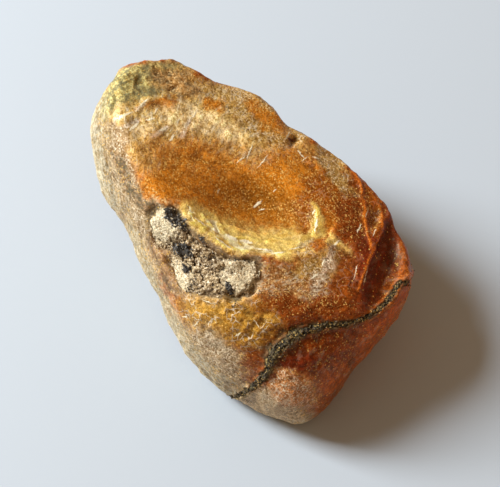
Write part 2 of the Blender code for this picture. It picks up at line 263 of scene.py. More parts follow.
# the amber's finishes: a colour from 0 to 255, and then how much of each effect it carries
effects = ("dustAndSparkle", "matt", "streak", "flake", "craze", "mottle")
finishes = {
    "honey": (142, 70, 12, 0.45, 0.42, 0, 0, 0.2, 0),
    "cleanBreak": (194, 120, 26, 0.82, 0.28, 0, 0, 0, 0),
    "hackled": (206, 180, 106, 0.8, 0.38, 1, 0, 0.4, 0),
    "hazeAndReflection": (238, 212, 146, 0.7, 0.4, 0.5, 0, 0.3, 0),
    "goldenLipReflection": (244, 216, 112, 0.4, 0.18, 0.2, 1, 0, 0),
    "tanFace": (176, 140, 66, 0.95, 0.45, 0.4, 0, 0.7, 0),
    "warmBreak": (184, 112, 24, 0.9, 0.3, 0, 0, 0, 0),
    "deepBreak": (150, 82, 12, 0.85, 0.28, 0, 0, 0.2, 0),
    "redBreak": (124, 58, 8, 0.8, 0.32, 0, 0.3, 0, 0),
    "darkHollow": (104, 30, 3, 0.25, 0.46, 0.1, 0, 0, 0),
    "paintedRidgeGlow": (186, 104, 28, 0.2, 0.24, 0, 0.4, 0, 0),
    "creamSkin": (152, 145, 117, 0.5, 0.6, 0.5, 0, 0.2, 0),
    "pinkSkin": (167, 117, 61, 0.9, 0.55, 0.6, 0, 0.5, 0),
    "crackedGold": (184, 140, 50, 0.6, 0.32, 0, 1, 1, 0),
    "burntOrange": (168, 84, 14, 0.4, 0.42, 0.2, 0, 0, 0),
    "lobeSkin": (126, 56, 5, 0.6, 0.46, 0.2, 0.5, 0.05, 0),
    "frosted": (181, 156, 117, 1, 0.5, 0.3, 0.6, 0.8, 0),
    "mossyCrest": (190, 182, 112, 0.8, 0.55, 0, 0, 0, 1),
    "brownCrest": (176, 132, 70, 0.9, 0.5, 0, 0, 0, 0.6),
    "tanSkin": (168, 147, 106, 1, 0.55, 0.4, 0, 0.5, 0),
    "dusted": (186, 128, 70, 1, 0.5, 0, 0.3, 0.6, 0),
    "glassyLipGlints": (255, 244, 186, 0.1, 0.14, 0, 0.3, 0, 0),
    "paintedGlints": (240, 226, 192, 1, 0.4, 1, 0, 0.6, 0),
    "shadedSkin": (150, 124, 82, 1, 0.55, 0, 0, 0.4, 0),
    "spotted": (150, 122, 84, 0.7, 0.6, 0, 0, 0.5, 1),
    "grime": (84, 64, 40, 0.2, 0.8, 0, 0, 0, 0.6),
}

# Where each finish lies on the best side, painted in this order: ellipses by centre, half sizes
# and turn, and bands by width and line.
amberPatches = [
    ellipse("creamSkin", (-29.5, 10.0), (9.6, 24.0), 12, wraps=True),
    band("tanSkin", 4.0, (-20.5, -2.0), (-17.4, -12.0), (-10.0, -22.0), (-2.0, -29.0),
         (6.0, -33.0), wraps=True),
    band("tanFace", 1.6, (-12.0, 29.0), (-6.0, 27.6), (0.0, 26.4), (5.0, 24.6), (10.0, 20.4)),
    ellipse("hackled", (-9.5, 20.5), (14.0, 7.4), -14),
    ellipse("hackled", (-15.6, 17.4), (5.0, 4.4)),
    ellipse("tanFace", (4.0, 21.0), (9.0, 3.4), -38),
    ellipse("cleanBreak", (3.6, 22.6), (4.6, 1.8), -42),
    ellipse("cleanBreak", (-14.4, 24.4), (3.6, 1.3), 8),
    ellipse("cleanBreak", (-5.4, 25.2), (2.0, 1.4), -20),
    # the hazy break: its own frosting, made whiter by a painted reflection of the window light
    ellipse("hazeAndReflection", (-9.0, 22.0), (7.0, 2.0), -12),
    ellipse("hazeAndReflection", (-3.6, 19.8), (3.6, 2.0), -40),
    ellipse("hazeAndReflection", (-18.0, 19.6), (2.4, 1.2), 24),
    # painted glints: short white bands along the ledge under the crest
    band("paintedGlints", 0.35, (-22.4, 21.8), (-21.0, 22.2)),
    band("paintedGlints", 0.25, (-18.8, 23.4), (-17.6, 24.6)),
    band("paintedGlints", 0.35, (-20.6, 20.4), (-18.2, 21.6)),
    band("paintedGlints", 0.35, (-15.8, 18.6), (-13.6, 20.6)),
    band("paintedGlints", 0.4, (-10.8, 18.8), (-9.6, 21.6)),
    ellipse("mossyCrest", (-17.6, 29.2), (7.6, 2.8), 14, wraps=True),
    ellipse("mossyCrest", (-22.4, 26.0), (2.2, 4.2), -36, wraps=True),
    ellipse("brownCrest", (-12.0, 28.6), (4.8, 2.4), -22, wraps=True),
    band("tanSkin", 2.6, (-23.2, 18.4), (-21.4, 13.0), (-19.2, 8.4), (-16.8, 4.6)),
    band("shadedSkin", 1.6, (-22.8, 20.0), (-21.2, 16.0), (-19.8, 11.4)),
    ellipse("warmBreak", (-14.8, 10.0), (3.0, 3.4), -30),
    ellipse("cleanBreak", (-5.0, 10.4), (13.6, 6.8), -24),
    ellipse("cleanBreak", (9.0, 8.6), (8.5, 6.6), -46),
    ellipse("deepBreak", (12.0, 7.6), (3.0, 5.6), -20),
    ellipse("tanFace", (15.6, 13.6), (6.0, 1.6), -52),
    # the golden lip: its own gold, made paler by painted internal reflection
    band("goldenLipReflection", 2.4, (-9.4, 4.8), (-5.2, 2.1), (-1.0, 0.8), (3.4, 0.4), (7.4, 0.4)),
    ellipse("tanFace", (10.4, -0.2), (2.0, 1.4), 10),
    band("goldenLipReflection", 0.9, (9.0, 0.6), (12.2, 2.4), (12.2, 6.0)),
    band("goldenLipReflection", 1.0, (14.4, 0.6), (17.6, -1.2)),
    ellipse("darkHollow", (8.5, 18.2), (0.9, 0.6), 20),
    ellipse("redBreak", (19.0, 4.8), (5.4, 3.6), -60),
    ellipse("pinkSkin", (7.0, -6.4), (10.0, 3.0)),
    ellipse("redBreak", (12.0, -10.6), (9.0, 1.8), -2),
    ellipse("tanFace", (13.0, -3.4), (5.6, 2.4), 22),
    ellipse("honey", (17.6, -5.4), (2.6, 4.4), -16),
    ellipse("crackedGold", (-3.8, -12.0), (8.4, 5.0), -24),
    ellipse("crackedGold", (3.4, -15.0), (3.4, 3.0), 30),
    ellipse("tanSkin", (-5.0, -19.8), (7.4, 3.2), -48),
    band("tanSkin", 1.9, (-19.4, 4.0), (-18.4, -2.0), (-16.6, -8.0), (-13.4, -14.0), (-9.4, -19.6)),
    band("frosted", 1.0, (15.0, -2.0), (12.9, -5.0), (12.2, -7.4)),
    ellipse("darkHollow", (23.2, -3.6), (3.6, 9.4), -8),
    ellipse("deepBreak", (22.4, 5.6), (1.6, 4.6), 6),
    ellipse("honey", (22.6, 7.4), (0.8, 2.4), 6),
    ellipse("lobeSkin", (11.0, -20.0), (8.6, 7.4), 30),
    ellipse("darkHollow", (8.8, -20.2), (3.0, 2.0), 30),
    ellipse("burntOrange", (15.4, -23.4), (3.2, 1.8), 50),
    ellipse("burntOrange", (24.8, -13.4), (3.4, 11.0), -24),
    band("creamSkin", 3.4, (-28.0, 24.0), (-28.4, 17.0), (-27.0, 8.0), (-23.4, 1.6),
         (-20.0, -3.6), wraps=True),
    band("creamSkin", 2.2, (-17.4, -6.4), (-14.4, -13.4), (-9.0, -21.6), (-2.2, -27.8), wraps=True),
    band("creamSkin", 2.6, (-0.6, -28.4), (4.6, -30.0), (9.6, -31.8), wraps=True),
    band("dusted", 0.8, (3.4, -26.0), (6.2, -22.4)),
    ellipse("burntOrange", (9.6, -24.6), (1.2, 3.4), -50),
    ellipse("tanSkin", (4.6, -28.2), (6.4, 3.0), -20),
    ellipse("dusted", (8.6, -25.4), (4.4, 3.0), -20),
    # painted glow: bright lines along the thin sharp edges, for light coming through them
    band("paintedRidgeGlow", 0.2, (24.2, 5.4), (24.2, 2.6), (23.2, 0.6), (21.6, -2.6), (20.6, -5.4),
         (19.6, -8.0)),
    band("paintedRidgeGlow", 0.2, (18.6, 14.0), (20.4, 11.4), (20.9, 7.6), (21.4, 3.0), (22.0, -0.4)),
    band("paintedRidgeGlow", 0.4, (28.6, -4.0), (29.2, -8.6), (27.4, -12.6), (24.4, -16.6)),
    band("spotted", 0.75, (-22.8, 16.0), (-21.0, 11.8), (-19.0, 8.8), (-17.0, 6.2)),
    # painted glints on the lip's glassy flakes
    ellipse("glassyLipGlints", (-1.2, 0.9), (2.9, 0.8), -18),
    ellipse("glassyLipGlints", (-5.6, 2.9), (1.8, 0.55), -40),
    ellipse("glassyLipGlints", (-9.2, 5.0), (1.2, 0.4), -40),
    ellipse("glassyLipGlints", (3.8, -1.3), (2.2, 0.35), -4),
    band("grime", 0.4, (-12.0, 5.8), (-8.4, 1.6), (-2.0, -2.4), (2.4, -2.4)),
]

# Edges on the break: the lift, its reach to the left and right of the line's way, and the line.
amberEdges = [
    # the lip round the bowl, and the flakes inside it
    (0.4, 0.45, 1.5, [(-10.6, 6.8), (-7.6, 3.0), (-3.5, -0.4), (1.7, -1.9), (7.8, -1.8),
                      (12.4, -0.2), (15.6, 2.9), (16.4, 6.4)]),
    (0.3, 0.22, 0.9, [(-8.8, 6.0), (-6.2, 3.4), (-2.6, 1.7), (1.6, 0.6), (6.4, 0.9)]),
    (0.2, 0.18, 0.7, [(-5.4, 3.4), (-1.6, 2.9), (2.2, 1.7), (5.4, 2.1)]),
    (0.26, 0.22, 0.8, [(11.4, 1.0), (12.6, 3.2), (12.2, 6.6)]),
    (0.24, 0.5, 0.22, [(14.8, 1.6), (16.6, -0.4), (18.8, -1.4)]),
    # the sharp edge above the right hollow, with folds beside it
    (0.6, 0.3, 1.1, [(22.6, 9.0), (24.2, 5.4), (24.2, 2.6), (23.0, 0.4), (21.5, -2.4), (20.5, -5.4),
                     (19.6, -8.0)]),
    (0.22, 0.25, 0.4, [(21.6, 0.8), (20.2, -2.4), (19.2, -5.6), (18.6, -8.2)]),
    (0.18, 0.25, 0.4, [(20.4, -0.6), (18.8, -3.4), (17.8, -6.4), (17.4, -8.6)]),
    (0.34, 0.3, 0.5, [(18.6, 14.0), (20.4, 11.4), (20.9, 7.6), (21.4, 3.0), (22.0, -0.4)]),
    # low ribs inside that hollow
    (0.12, 0.25, 0.4, [(25.2, 4.6), (25.2, 0.8), (23.8, -2.8), (22.2, -6.8), (20.8, -9.8)]),
    (0.16, 0.25, 0.4, [(26.4, 3.6), (26.4, -0.2), (25.0, -3.8), (23.0, -8.0), (21.4, -11.2)]),
    (0.18, 0.25, 0.4, [(27.4, 1.6), (27.2, -1.8), (25.8, -5.2), (23.8, -9.2)]),
    # ledge between the face and the crest
    (0.26, 0.9, 0.3, [(-22.0, 20.4), (-17.6, 24.6), (-11.0, 26.4), (-6.4, 27.6)]),
    # outer edge of the face on the right
    (0.16, 0.8, 0.4, [(7.0, 22.4), (11.0, 17.6), (16.6, 14.2), (21.4, 9.6)]),
    # left edge of the face, down to the clay
    (0.2, 0.7, 1.0, [(-22.4, 14.6), (-19.6, 10.6), (-17.0, 7.4), (-15.0, 5.6)]),
    # the lobe's edges and the fine ribs along its outer side
    (0.3, 0.6, 0.35, [(20.6, -17.6), (17.6, -22.4), (14.4, -26.6), (11.6, -30.2)]),
    (0.3, 0.6, 0.35, [(26.8, -7.6), (24.6, -12.6), (20.6, -17.6)]),
    (0.18, 0.25, 0.35, [(28.0, -8.4), (26.0, -12.6), (22.2, -17.8), (18.6, -22.8)]),
    (0.18, 0.6, 0.6, [(5.2, -18.6), (9.8, -19.8), (14.6, -18.8)]),
]

# Hollows and bumps: centre, half sizes, turn and lift.
amberDents = [
    ((8.5, 18.2), (0.7, 0.5), 20, -0.35),
    ((-22.6, 24.6), (1.0, 0.6), 60, -0.7),
    ((-12.4, 27.0), (0.7, 0.4), 10, -0.35),
    ((-18.4, 28.6), (1.0, 0.5), 40, -0.4),
    ((18.8, -20.4), (1.2, 0.35), 60, -0.6),
    ((13.0, 13.8), (2.4, 0.9), -50, 0.2),
    ((6.6, -12.6), (4.6, 1.2), 18, 0.25),
    ((-3.8, -10.4), (5.0, 0.9), -18, -0.25),
    ((1.8, -14.2), (3.0, 0.7), 40, -0.25),
    ((14.0, -12.0), (6.0, 1.0), 4, 0.2),
]

# The seam on the best side: a, b, the height of a point that is out of sight, and the half width.
seamLine = [
    (-3.6, -27.8, -3.0, 0.40), (-1.4, -26.9, None, 0.50), (1.4, -24.7, None, 0.65),
    (3.8, -21.9, None, 1.00), (4.9, -18.9, None, 1.40), (6.8, -16.9, None, 1.40),
    (9.6, -15.0, None, 1.10), (13.6, -13.9, None, 0.70), (17.8, -13.6, None, 0.55),
    (21.6, -12.3, None, 0.50), (24.6, -9.8, None, 0.55), (26.6, -7.0, None, 0.55),
    (28.2, -4.8, 3.5, 0.60), (28.8, -3.6, 0.0, 0.55), (29.0, -3.4, -5.0, 0.50),
    (27.4, -5.4, -10.0, 0.40),
]

# The clay's outline on the best side.
clayOutline = [
    (-14.7, 6.1), (-12.4, 6.3), (-11.2, 5.1), (-10.0, 3.0), (-7.3, 1.2), (-5.8, -0.4), (-4.0, -2.1),
    (-0.9, -2.4), (1.8, -2.4), (2.8, -4.7), (1.9, -6.8), (-1.2, -9.2), (-2.9, -8.3), (-5.2, -9.0),
    (-7.7, -8.4), (-10.5, -8.3), (-12.9, -7.2), (-14.1, -5.4), (-15.0, -2.8), (-16.2, 0.0),
    (-16.8, 2.4), (-16.3, 4.6),
]

amberBody = {
    "voxel": 0.28 * mm,       # mesh size while it is worked
    "smoothing": 6,
    "triangles": 190000,      # kept at the end
    "facing": (0.02, 0.22),   # how squarely a mark must face out of the best side
    "edgeWander": 1.3,        # millimetres that the patches' edges wander, broadly and finely
    "fineWander": 0.6,
    "thinBand": 0.6,          # bands thinner than this wander by a fifth of that
    "patchStrength": 0.95,
    "breakStart": (-19.0, -11.0),  # hackles and ribs spread from here
    "lobeStart": (-4.0, -56.0),    # and the lobe's streaks from here
    "fanSteps": (34.0, 2.4, 6.0),  # steps in a radian, and millimetres in a step outward and down
    "paintedEdgeGlow": (1.0, 0.95, 0.8),  # how much paler the thin left and near edges are painted, as a painted glow of light through them
    "ridgeRounds": 14,        # how broad a form counts as a ridge or a hollow
    "ridgeShade": 4,          # and how much paler or darker it is painted, as painted light on ridges and painted shade in hollows
    "seamDepth": 1.0,
    "seamSteps": 10,
    "seamPlug": 0.42 * mm,    # how far the plugs swell before they close the groove and the hollow
    "clayPlug": 0.6 * mm,
    "rimGap": 1.0,            # how far round the clay the skin is looked up to run on under it
    "plugDrop": 0.05,
}


def finishMask(side, finish):
    masks = [patchMask(side, patch) for patch in amberPatches if patch["finish"] == finish]
    return np.max(masks, axis=0)


def clayInset(side):
    # how far inside the clay's outline each point is, and minus outside it
    ring = clayOutline + clayOutline[:1]
    distance = lineDistance(side, ring)[0]
    inside = np.zeros(len(side), bool)
    for (a0, b0), (a1, b1) in zip(ring[:-1], ring[1:]):
        crosses = (side[:, 1] < b0) != (side[:, 1] < b1)
        inside ^= crosses & (side[:, 0] < a0 + (side[:, 1] - b0) * (a1 - a0) / (b1 - b0 + 1e-9))
    return np.where(inside, distance, -distance)


def makeLid(tree):
    # the amber's skin as it would run under the clay: its height from the skin round the clay
    centre = np.mean(clayOutline, axis=0)
    rim = []
    for start, end in zip(clayOutline, clayOutline[1:] + clayOutline[:1]):
        for share in (0, 0.34, 0.67):
            spot = np.array(start) * (1 - share) + np.array(end) * share
            spot += (spot - centre) / np.hypot(*(spot - centre)) * amberBody["rimGap"]
            place = skinAt(tree, *spot)[0]
            rim.append(toSide(np.array(place)))
    rim = np.array(rim)

    def lidHeight(side):
        gaps = np.hypot(side[:, None, 0] - rim[None, :, 0], side[:, None, 1] - rim[None, :, 1])
        weights = 1 / (gaps + 0.2) ** 3
        return weights @ rim[:, 2] / weights.sum(1)
    return lidHeight


def seamCourse(tree):
    # close points along the seam on the skin, with its half width at each
    ends = [skinAt(tree, *point[:3])[0] for point in seamLine]
    course = []
    for number in range(len(ends) - 1):
        before = ends[max(number - 1, 0)]
        after = ends[min(number + 2, len(ends) - 1)]
        start, end = ends[number], ends[number + 1]
        for part in range(amberBody["seamSteps"]):
            t = part / amberBody["seamSteps"]
            bend = (end - before) * t + (2 * before - 5 * start + 4 * end - after) * t * t
            bend += (3 * start - before - 3 * end + after) * t ** 3
            width = seamLine[number][3] * (1 - t) + seamLine[number + 1][3] * t
            course.append((tree.find_nearest(start + bend / 2)[0], width))
    return course


def seamShare(points, course):
    # distance from the seam's line as a share of its half width there
    near = KDTree(len(course))
    for number, (place, width) in enumerate(course):
        near.insert(place, number)
    near.balance()
    shares = np.full(len(points), 9.0)
    for number, point in enumerate(points):
        place, which, distance = near.find(Vector(point))
        if distance < 6 * mm:
            shares[number] = distance / mm / course[which][1]
    return shares


def fanOf(side):
    # angle and distance from where the break started, in steps that suit its streaks
    lobe = lineDistance(side, [point[:2] for point in seamLine])[1] < 0
    start = np.where(lobe[:, None], amberBody["lobeStart"], amberBody["breakStart"])
    way = np.arctan2(side[:, 1] - start[:, 1], side[:, 0] - start[:, 0])
    turns, out, deep = amberBody["fanSteps"]
    return np.column_stack([way * turns, np.hypot(*(side[:, :2] - start).T) / out, side[:, 2] / deep])


def ridgesOf(thing, rounds):
    # how far each point stands out from the same surface smoothed that many times, in millimetres
    points = pointsOf(thing)
    ends = np.empty(len(thing.data.edges) * 2, int)
    thing.data.edges.foreach_get("vertices", ends)
    ends = ends.reshape(-1, 2)
    both = np.concatenate([ends[:, 0], ends[:, 1]])
    other = np.concatenate([ends[:, 1], ends[:, 0]])
    count = np.bincount(both, minlength=len(points))
    smoothed = points
    for turn in range(rounds):
        columns = smoothed[other].T
        sums = [np.bincount(both, weights=column, minlength=len(points)) for column in columns]
        smoothed = np.column_stack(sums) / count[:, None]
    return ((points - smoothed) * normalsOf(thing)).sum(1) / mm


# heights of the amber's relief in millimetres
amberRelief = {
    "hackles": 0.16, "swells": 0.2, "lipFlakes": 0.2, "ribs": 0.03,
    "crestPits": 0.16, "crestGrain": 0.08,
    "wrinkles": 0.1, "skinSwells": 0.16, "cracks": 0.2,
    "lobeSwells": 0.16, "lobeRidges": 0.12,
    "uneven": 0.14, "evened": 0.12,   # the second is taken off on the clean break and the lip
    "fine": 0.04,
}


def sculptAmber(body, course):
    # lifts and lowers the surface: edges, dents, hackles, ribs, wrinkles and the seam's groove
    points = pointsOf(body)
    normals = normalsOf(body)
    side = toSide(points)
    near = ease(*amberBody["facing"], normals @ np.array(outward))
    lift = np.zeros(len(side))
    wander = [wobble(side, 2.2, 11, 2), wobble(side, 2.2, 12, 2), np.zeros(len(side))]
    wandered = side + np.column_stack(wander)
    uneven = 0.8 + 0.4 * wobble(side, 3.0, 13, 2)
    for rise, left, right, line in amberEdges:
        distance, sign, place = lineDistance(side + (wandered - side) * 0.5, line)
        reach = np.where(sign > 0, left, right)
        ends = ease(0, 0.12, place) * (1 - ease(0.88, 1, place))
        lift += near * ends * uneven * rise * np.exp(-((distance / reach) ** 1.5))
    for at, size, turn, rise in amberDents:
        lift += near * rise * blobMask(wandered, at, size, turn, 0.6)

    # hackles fan out from the start of the break, and low ribs run round it
    relief = amberRelief
    fan = fanOf(side)
    hackled = np.maximum(finishMask(wandered, "hackled"), finishMask(wandered, "hazeAndReflection")) * near
    golden = finishMask(wandered, "goldenLipReflection") * near
    clean = finishMask(wandered, "cleanBreak") * near
    broken = ease(-0.1, 0.4, wobble(side, 2.6, 25, 2))
    lift += hackled * relief["hackles"] * broken * folded(fan, 0.6, 14, 2)
    lift += hackled * relief["swells"] * wobble(side, 3.0, 26, 3)
    lift += golden * relief["lipFlakes"] * folded(side / (2.4, 1.0, 1.0), 1.1, 15, 2)
    lift += clean * relief["ribs"] * np.sin(fan[:, 1] * 6.4 + 2.0 * wobble(side, 5.0, 16, 2))

    # pits in the crest, soft wrinkles along the skin and a worn, uneven back
    mossy = finishMask(wandered, "mossyCrest") * near
    lift -= mossy * relief["crestPits"] * ease(0.2, 0.6, wobble(side, 1.1, 17, 2))
    lift += mossy * relief["crestGrain"] * wobble(side, 0.6, 18, 2)
    skin = np.clip(finishMask(wandered, "creamSkin") * near + 1 - near, 0, 1)
    wrinkles = relief["wrinkles"] * wobble(side / (0.9, 3.5, 1.6), 1.0, 19, 3)
    lift += skin * (wrinkles + relief["skinSwells"] * wobble(side, 3.4, 20, 3))
    cracked = np.maximum(finishMask(wandered, "crackedGold"), finishMask(wandered, "frosted")) * near
    lift += cracked * relief["cracks"] * folded(side, 1.5, 22, 3, 0.25)
    lobe = finishMask(wandered, "lobeSkin") * near
    swells = relief["lobeSwells"] * wobble(side, 2.4, 27, 3)
    lift += lobe * (swells + relief["lobeRidges"] * folded(fan, 0.8, 28, 2))
    bumps = relief["uneven"] - relief["evened"] * np.maximum(clean, golden)
    lift += bumps * wobble(side, 2.2, 23, 3) + relief["fine"] * wobble(side, 0.55, 21, 1)

    # the groove that holds the residue
    share = seamShare(points, course) / (1 + 0.8 * np.clip(wobble(side, 1.2, 24, 4), -0.6, 0.8))
    groove = 1 - ease(0.6, 1.05, share)
    lift = lift * (1 - groove) - amberBody["seamDepth"] * groove
    points += normals * lift[:, None] * mm
    points[:, 2] = np.maximum(points[:, 2], 0)
    setPoints(body, points)


def paintAmber(body, course):
    # mixes the finishes over the body and keeps them as one colour and a mask for each effect
    points = pointsOf(body)
    side = toSide(points)
    facing = normalsOf(body) @ np.array(outward)
    wander = np.column_stack([wobble(side, 4.0, 1), wobble(side, 4.0, 2)]) * amberBody["edgeWander"]
    wander += np.column_stack([wobble(side, 0.9, 3, 2), wobble(side, 0.9, 4, 2)]) * amberBody["fineWander"]
    wandered = side[:, :2] + wander
    near = ease(*amberBody["facing"], facing)

    def channelsOf(finish):
        return np.concatenate([tint(*finishes[finish][:3]), finishes[finish][3:]])

    channels = np.tile(channelsOf("honey"), (len(side), 1))

    def layOver(finish, mask):
        channels[:] = channels + (channelsOf(finish) - channels) * mask[:, None]

    # the weathered skin round the back and underneath
    blotches = wobble(side, 9.0, 5, 4)
    away = 1 - ease(-0.25, 0.25, facing + 0.1 * blotches)
    layOver("burntOrange", away * 0.9)
    layOver("pinkSkin", away * ease(-0.1, 0.25, blotches))
    layOver("creamSkin", away * ease(0.05, 0.5, wobble(side, 6.0, 6, 4)) * 0.8)
    wrapped = ease(-0.7, -0.2, facing)
    for patch in amberPatches:
        thin = patch.get("width", 9) < amberBody["thinBand"]
        place = side[:, :2] + wander * 0.2 if thin else wandered
        mask = patchMask(place, patch) * (wrapped if patch["wraps"] else near)
        layOver(patch["finish"], mask * amberBody["patchStrength"])
    seamEdge = seamShare(points, course) + 0.9 * wobble(side, 1.1, 7, 4)
    layOver("grime", (1 - ease(0.7, 1.7, seamEdge)) * 0.9)
    inset = clayInset(side)
    layOver("tanSkin", ease(-1.8, -0.2, inset + 1.2 * wobble(side, 0.8, 9, 3)) * near * 0.6)
    layOver("grime", (1 - ease(0.0, 0.6, np.abs(inset + 0.6 * wobble(side, 1.0, 8, 3)))) * near * 0.7)

    # painted light and shade: ridges painted paler and hollows darker, and the thin left and near edges
    # painted paler as a glow of light coming through them
    paintedRidgeShade = ridgesOf(body, amberBody["ridgeRounds"]) * amberBody["ridgeShade"]
    channels[:, :3] *= np.exp(np.clip(paintedRidgeShade, -0.6, 0.3))[:, None]
    # painted glow: the edges that face away, to the left and near, painted paler
    paintedGlow = (1 - ease(0.0, 0.65, facing)) * ease(-2, -10, side[:, 0] + side[:, 1] * 0.5) * wrapped
    paintedGlow *= 1 - 0.9 * finishMask(wandered, "mossyCrest")
    channels[:, :3] *= 1 + paintedGlow[:, None] * amberBody["paintedEdgeGlow"]
    tone = body.data.attributes.new("tone", "FLOAT_COLOR", "POINT")
    colours = np.column_stack([np.clip(channels[:, :3], 0, 1), np.ones(len(side))])
    tone.data.foreach_set("color", colours.reshape(-1).astype(np.float32))
    for number, effect in enumerate(effects):
        keepMask(body, effect, channels[:, 3 + number])
    fan = body.data.attributes.new("fan", "FLOAT_VECTOR", "POINT")
    fan.data.foreach_set("vector", fanOf(side).reshape(-1).astype(np.float32))


def makeAmberBody():
    body = copyNode("amber_nodule", "amber_body")
    lidHeight = makeLid(treeOf(body))
    # the groove and the hollow are closed first, because the finer ones are worked afresh
    seamPlug = copyNode("seam_filling", "seam_plug", amberBody["seamPlug"])
    clayPlug = copyNode("clay_crust", "clay_plug", amberBody["clayPlug"])
    plugged = toSide(pointsOf(clayPlug))
    plugged[:, 2] = np.minimum(plugged[:, 2], lidHeight(plugged) - amberBody["plugDrop"])
    setPoints(clayPlug, fromSide(plugged))
    pickOnly(body, seamPlug, clayPlug)
    bpy.ops.object.join()
    finishWith(body, "SUBSURF", levels=1, render_levels=1)
    finishWith(body, "REMESH", mode="VOXEL", voxel_size=amberBody["voxel"])
    finishWith(body, "SMOOTH", factor=0.5, iterations=amberBody["smoothing"])
    plainSkin = treeOf(body)
    course = seamCourse(plainSkin)
    sculptAmber(body, course)
    finishWith(body, "DECIMATE", ratio=min(1, amberBody["triangles"] / triangleCount(body)))
    paintAmber(body, course)
    shadeSmooth(body)
    print("amber body:", triangleCount(body), "triangles")
    return body, course, lidHeight, plainSkin


# shader groups that several materials share
def newGroup(name, inputs, outputs):
    group = bpy.data.node_groups.new(name, "ShaderNodeTree")
    for label, kind, value in inputs:
        socket = group.interface.new_socket(label, in_out="INPUT", socket_type="NodeSocket" + kind)
        if value is not None:
            socket.default_value = value
    for label, kind in outputs:
        group.interface.new_socket(label, in_out="OUTPUT", socket_type="NodeSocket" + kind)
    return group, group.nodes.new("NodeGroupInput").outputs, group.nodes.new("NodeGroupOutput").inputs


def feed(tree, value, socket):
    # a number or colour goes on the socket, an output is linked to it
    if isinstance(value, bpy.types.NodeSocket):
        tree.links.new(value, socket)
    elif isinstance(value, (tuple, list, np.ndarray)) and socket.type == "RGBA":
        socket.default_value = (*value[:3], 1)
    else:
        socket.default_value = value


def maths(tree, operation, *values, clamp=False):
    node = tree.nodes.new("ShaderNodeMath")
    node.operation = operation
    node.use_clamp = clamp
    for value, socket in zip(values, node.inputs):
        feed(tree, value, socket)
    return node.outputs[0]


def times(tree, *values):
    return maths(tree, "MULTIPLY", *values)


def rampUp(tree, value, low, high, toLow=0.0, toHigh=1.0):
    # a smooth step from one value to another
    node = tree.nodes.new("ShaderNodeMapRange")
    node.interpolation_type = "SMOOTHSTEP"
    labels = ("Value", "From Min", "From Max", "To Min", "To Max")
    for label, number in zip(labels, (value, low, high, toLow, toHigh)):
        feed(tree, number, node.inputs[label])
    return node.outputs["Result"]


def blendColours(tree, share, below, above, mode="MIX"):
    node = tree.nodes.new("ShaderNodeMix")
    node.data_type = "RGBA"
    node.blend_type = mode
    for value, number in ((share, 0), (below, 6), (above, 7)):
        feed(tree, value, node.inputs[number])
    return node.outputs[2]


def filtered(tree, shade, colour):
    return blendColours(tree, 1.0, shade, colour, "MULTIPLY")


def coverWith(tree, shade, colour, mask, amount):
    # lays a colour over the shade so far, as strongly as the mask and the amount say
    return blendColours(tree, times(tree, mask, amount), shade, colour)


def shifted(tree, amount, wander, place):
    # a place moved a little by a noise colour
    node = tree.nodes.new("ShaderNodeVectorMath")
    node.operation = "MULTIPLY_ADD"
    for value, socket in zip((wander, (amount, amount, amount), place), node.inputs):
        feed(tree, value, socket)
    return node.outputs[0]


def noiseOf(tree, vector, size, detail=2.0, roughness=0.5):
    node = tree.nodes.new("ShaderNodeTexNoise")
    labels = ("Vector", "Scale", "Detail", "Roughness")
    for label, value in zip(labels, (vector, size, detail, roughness)):
        feed(tree, value, node.inputs[label])
    return node.outputs


def cellsOf(tree, vector, size, feature="F1"):
    node = tree.nodes.new("ShaderNodeTexVoronoi")
    node.feature = feature
    feed(tree, vector, node.inputs["Vector"])
    feed(tree, size, node.inputs["Scale"])
    return node.outputs


def makeGrainGroup():
    # uneven grain: a soft blotch with finer grain on it
    inputs = [("Vector", "Vector", None), ("Size", "Float", 1000.0),
              ("Fineness", "Float", 4.0), ("Contrast", "Float", 0.5)]
    group, given, out = newGroup("grain", inputs, [("Value", "Float"), ("Height", "Float")])
    blotch = noiseOf(group, given["Vector"], given["Size"], 3.0)[0]
    fineSize = times(group, given["Size"], given["Fineness"])
    fine = noiseOf(group, given["Vector"], fineSize, 2.0)[0]
    both = times(group, maths(group, "ADD", blotch, fine), 0.5)
    contrast = times(group, given["Contrast"], 4.0)
    spread = times(group, maths(group, "SUBTRACT", both, 0.5), contrast)
    feed(group, maths(group, "ADD", spread, 0.5, clamp=True), out["Value"])
    feed(group, both, out["Height"])
    return group


def makeSpeckGroup():
    # scattered specks: a share of the cells holds a speck of its own size
    inputs = [("Vector", "Vector", None), ("Size", "Float", 3000.0),
              ("Share", "Float", 0.3), ("Width", "Float", 0.35)]
    group, given, out = newGroup("specks", inputs, [("Mask", "Float")])
    cells = cellsOf(group, given["Vector"], given["Size"])
    chance = group.nodes.new("ShaderNodeSeparateColor")
    feed(group, cells["Color"], chance.inputs[0])
    present = maths(group, "LESS_THAN", chance.outputs[0], given["Share"])
    width = times(group, given["Width"], rampUp(group, chance.outputs[1], 0.0, 1.0, 0.4, 1.3))
    edge = rampUp(group, cells["Distance"], times(group, width, 0.5), width)
    feed(group, times(group, present, maths(group, "SUBTRACT", 1.0, edge)), out["Mask"])
    return group


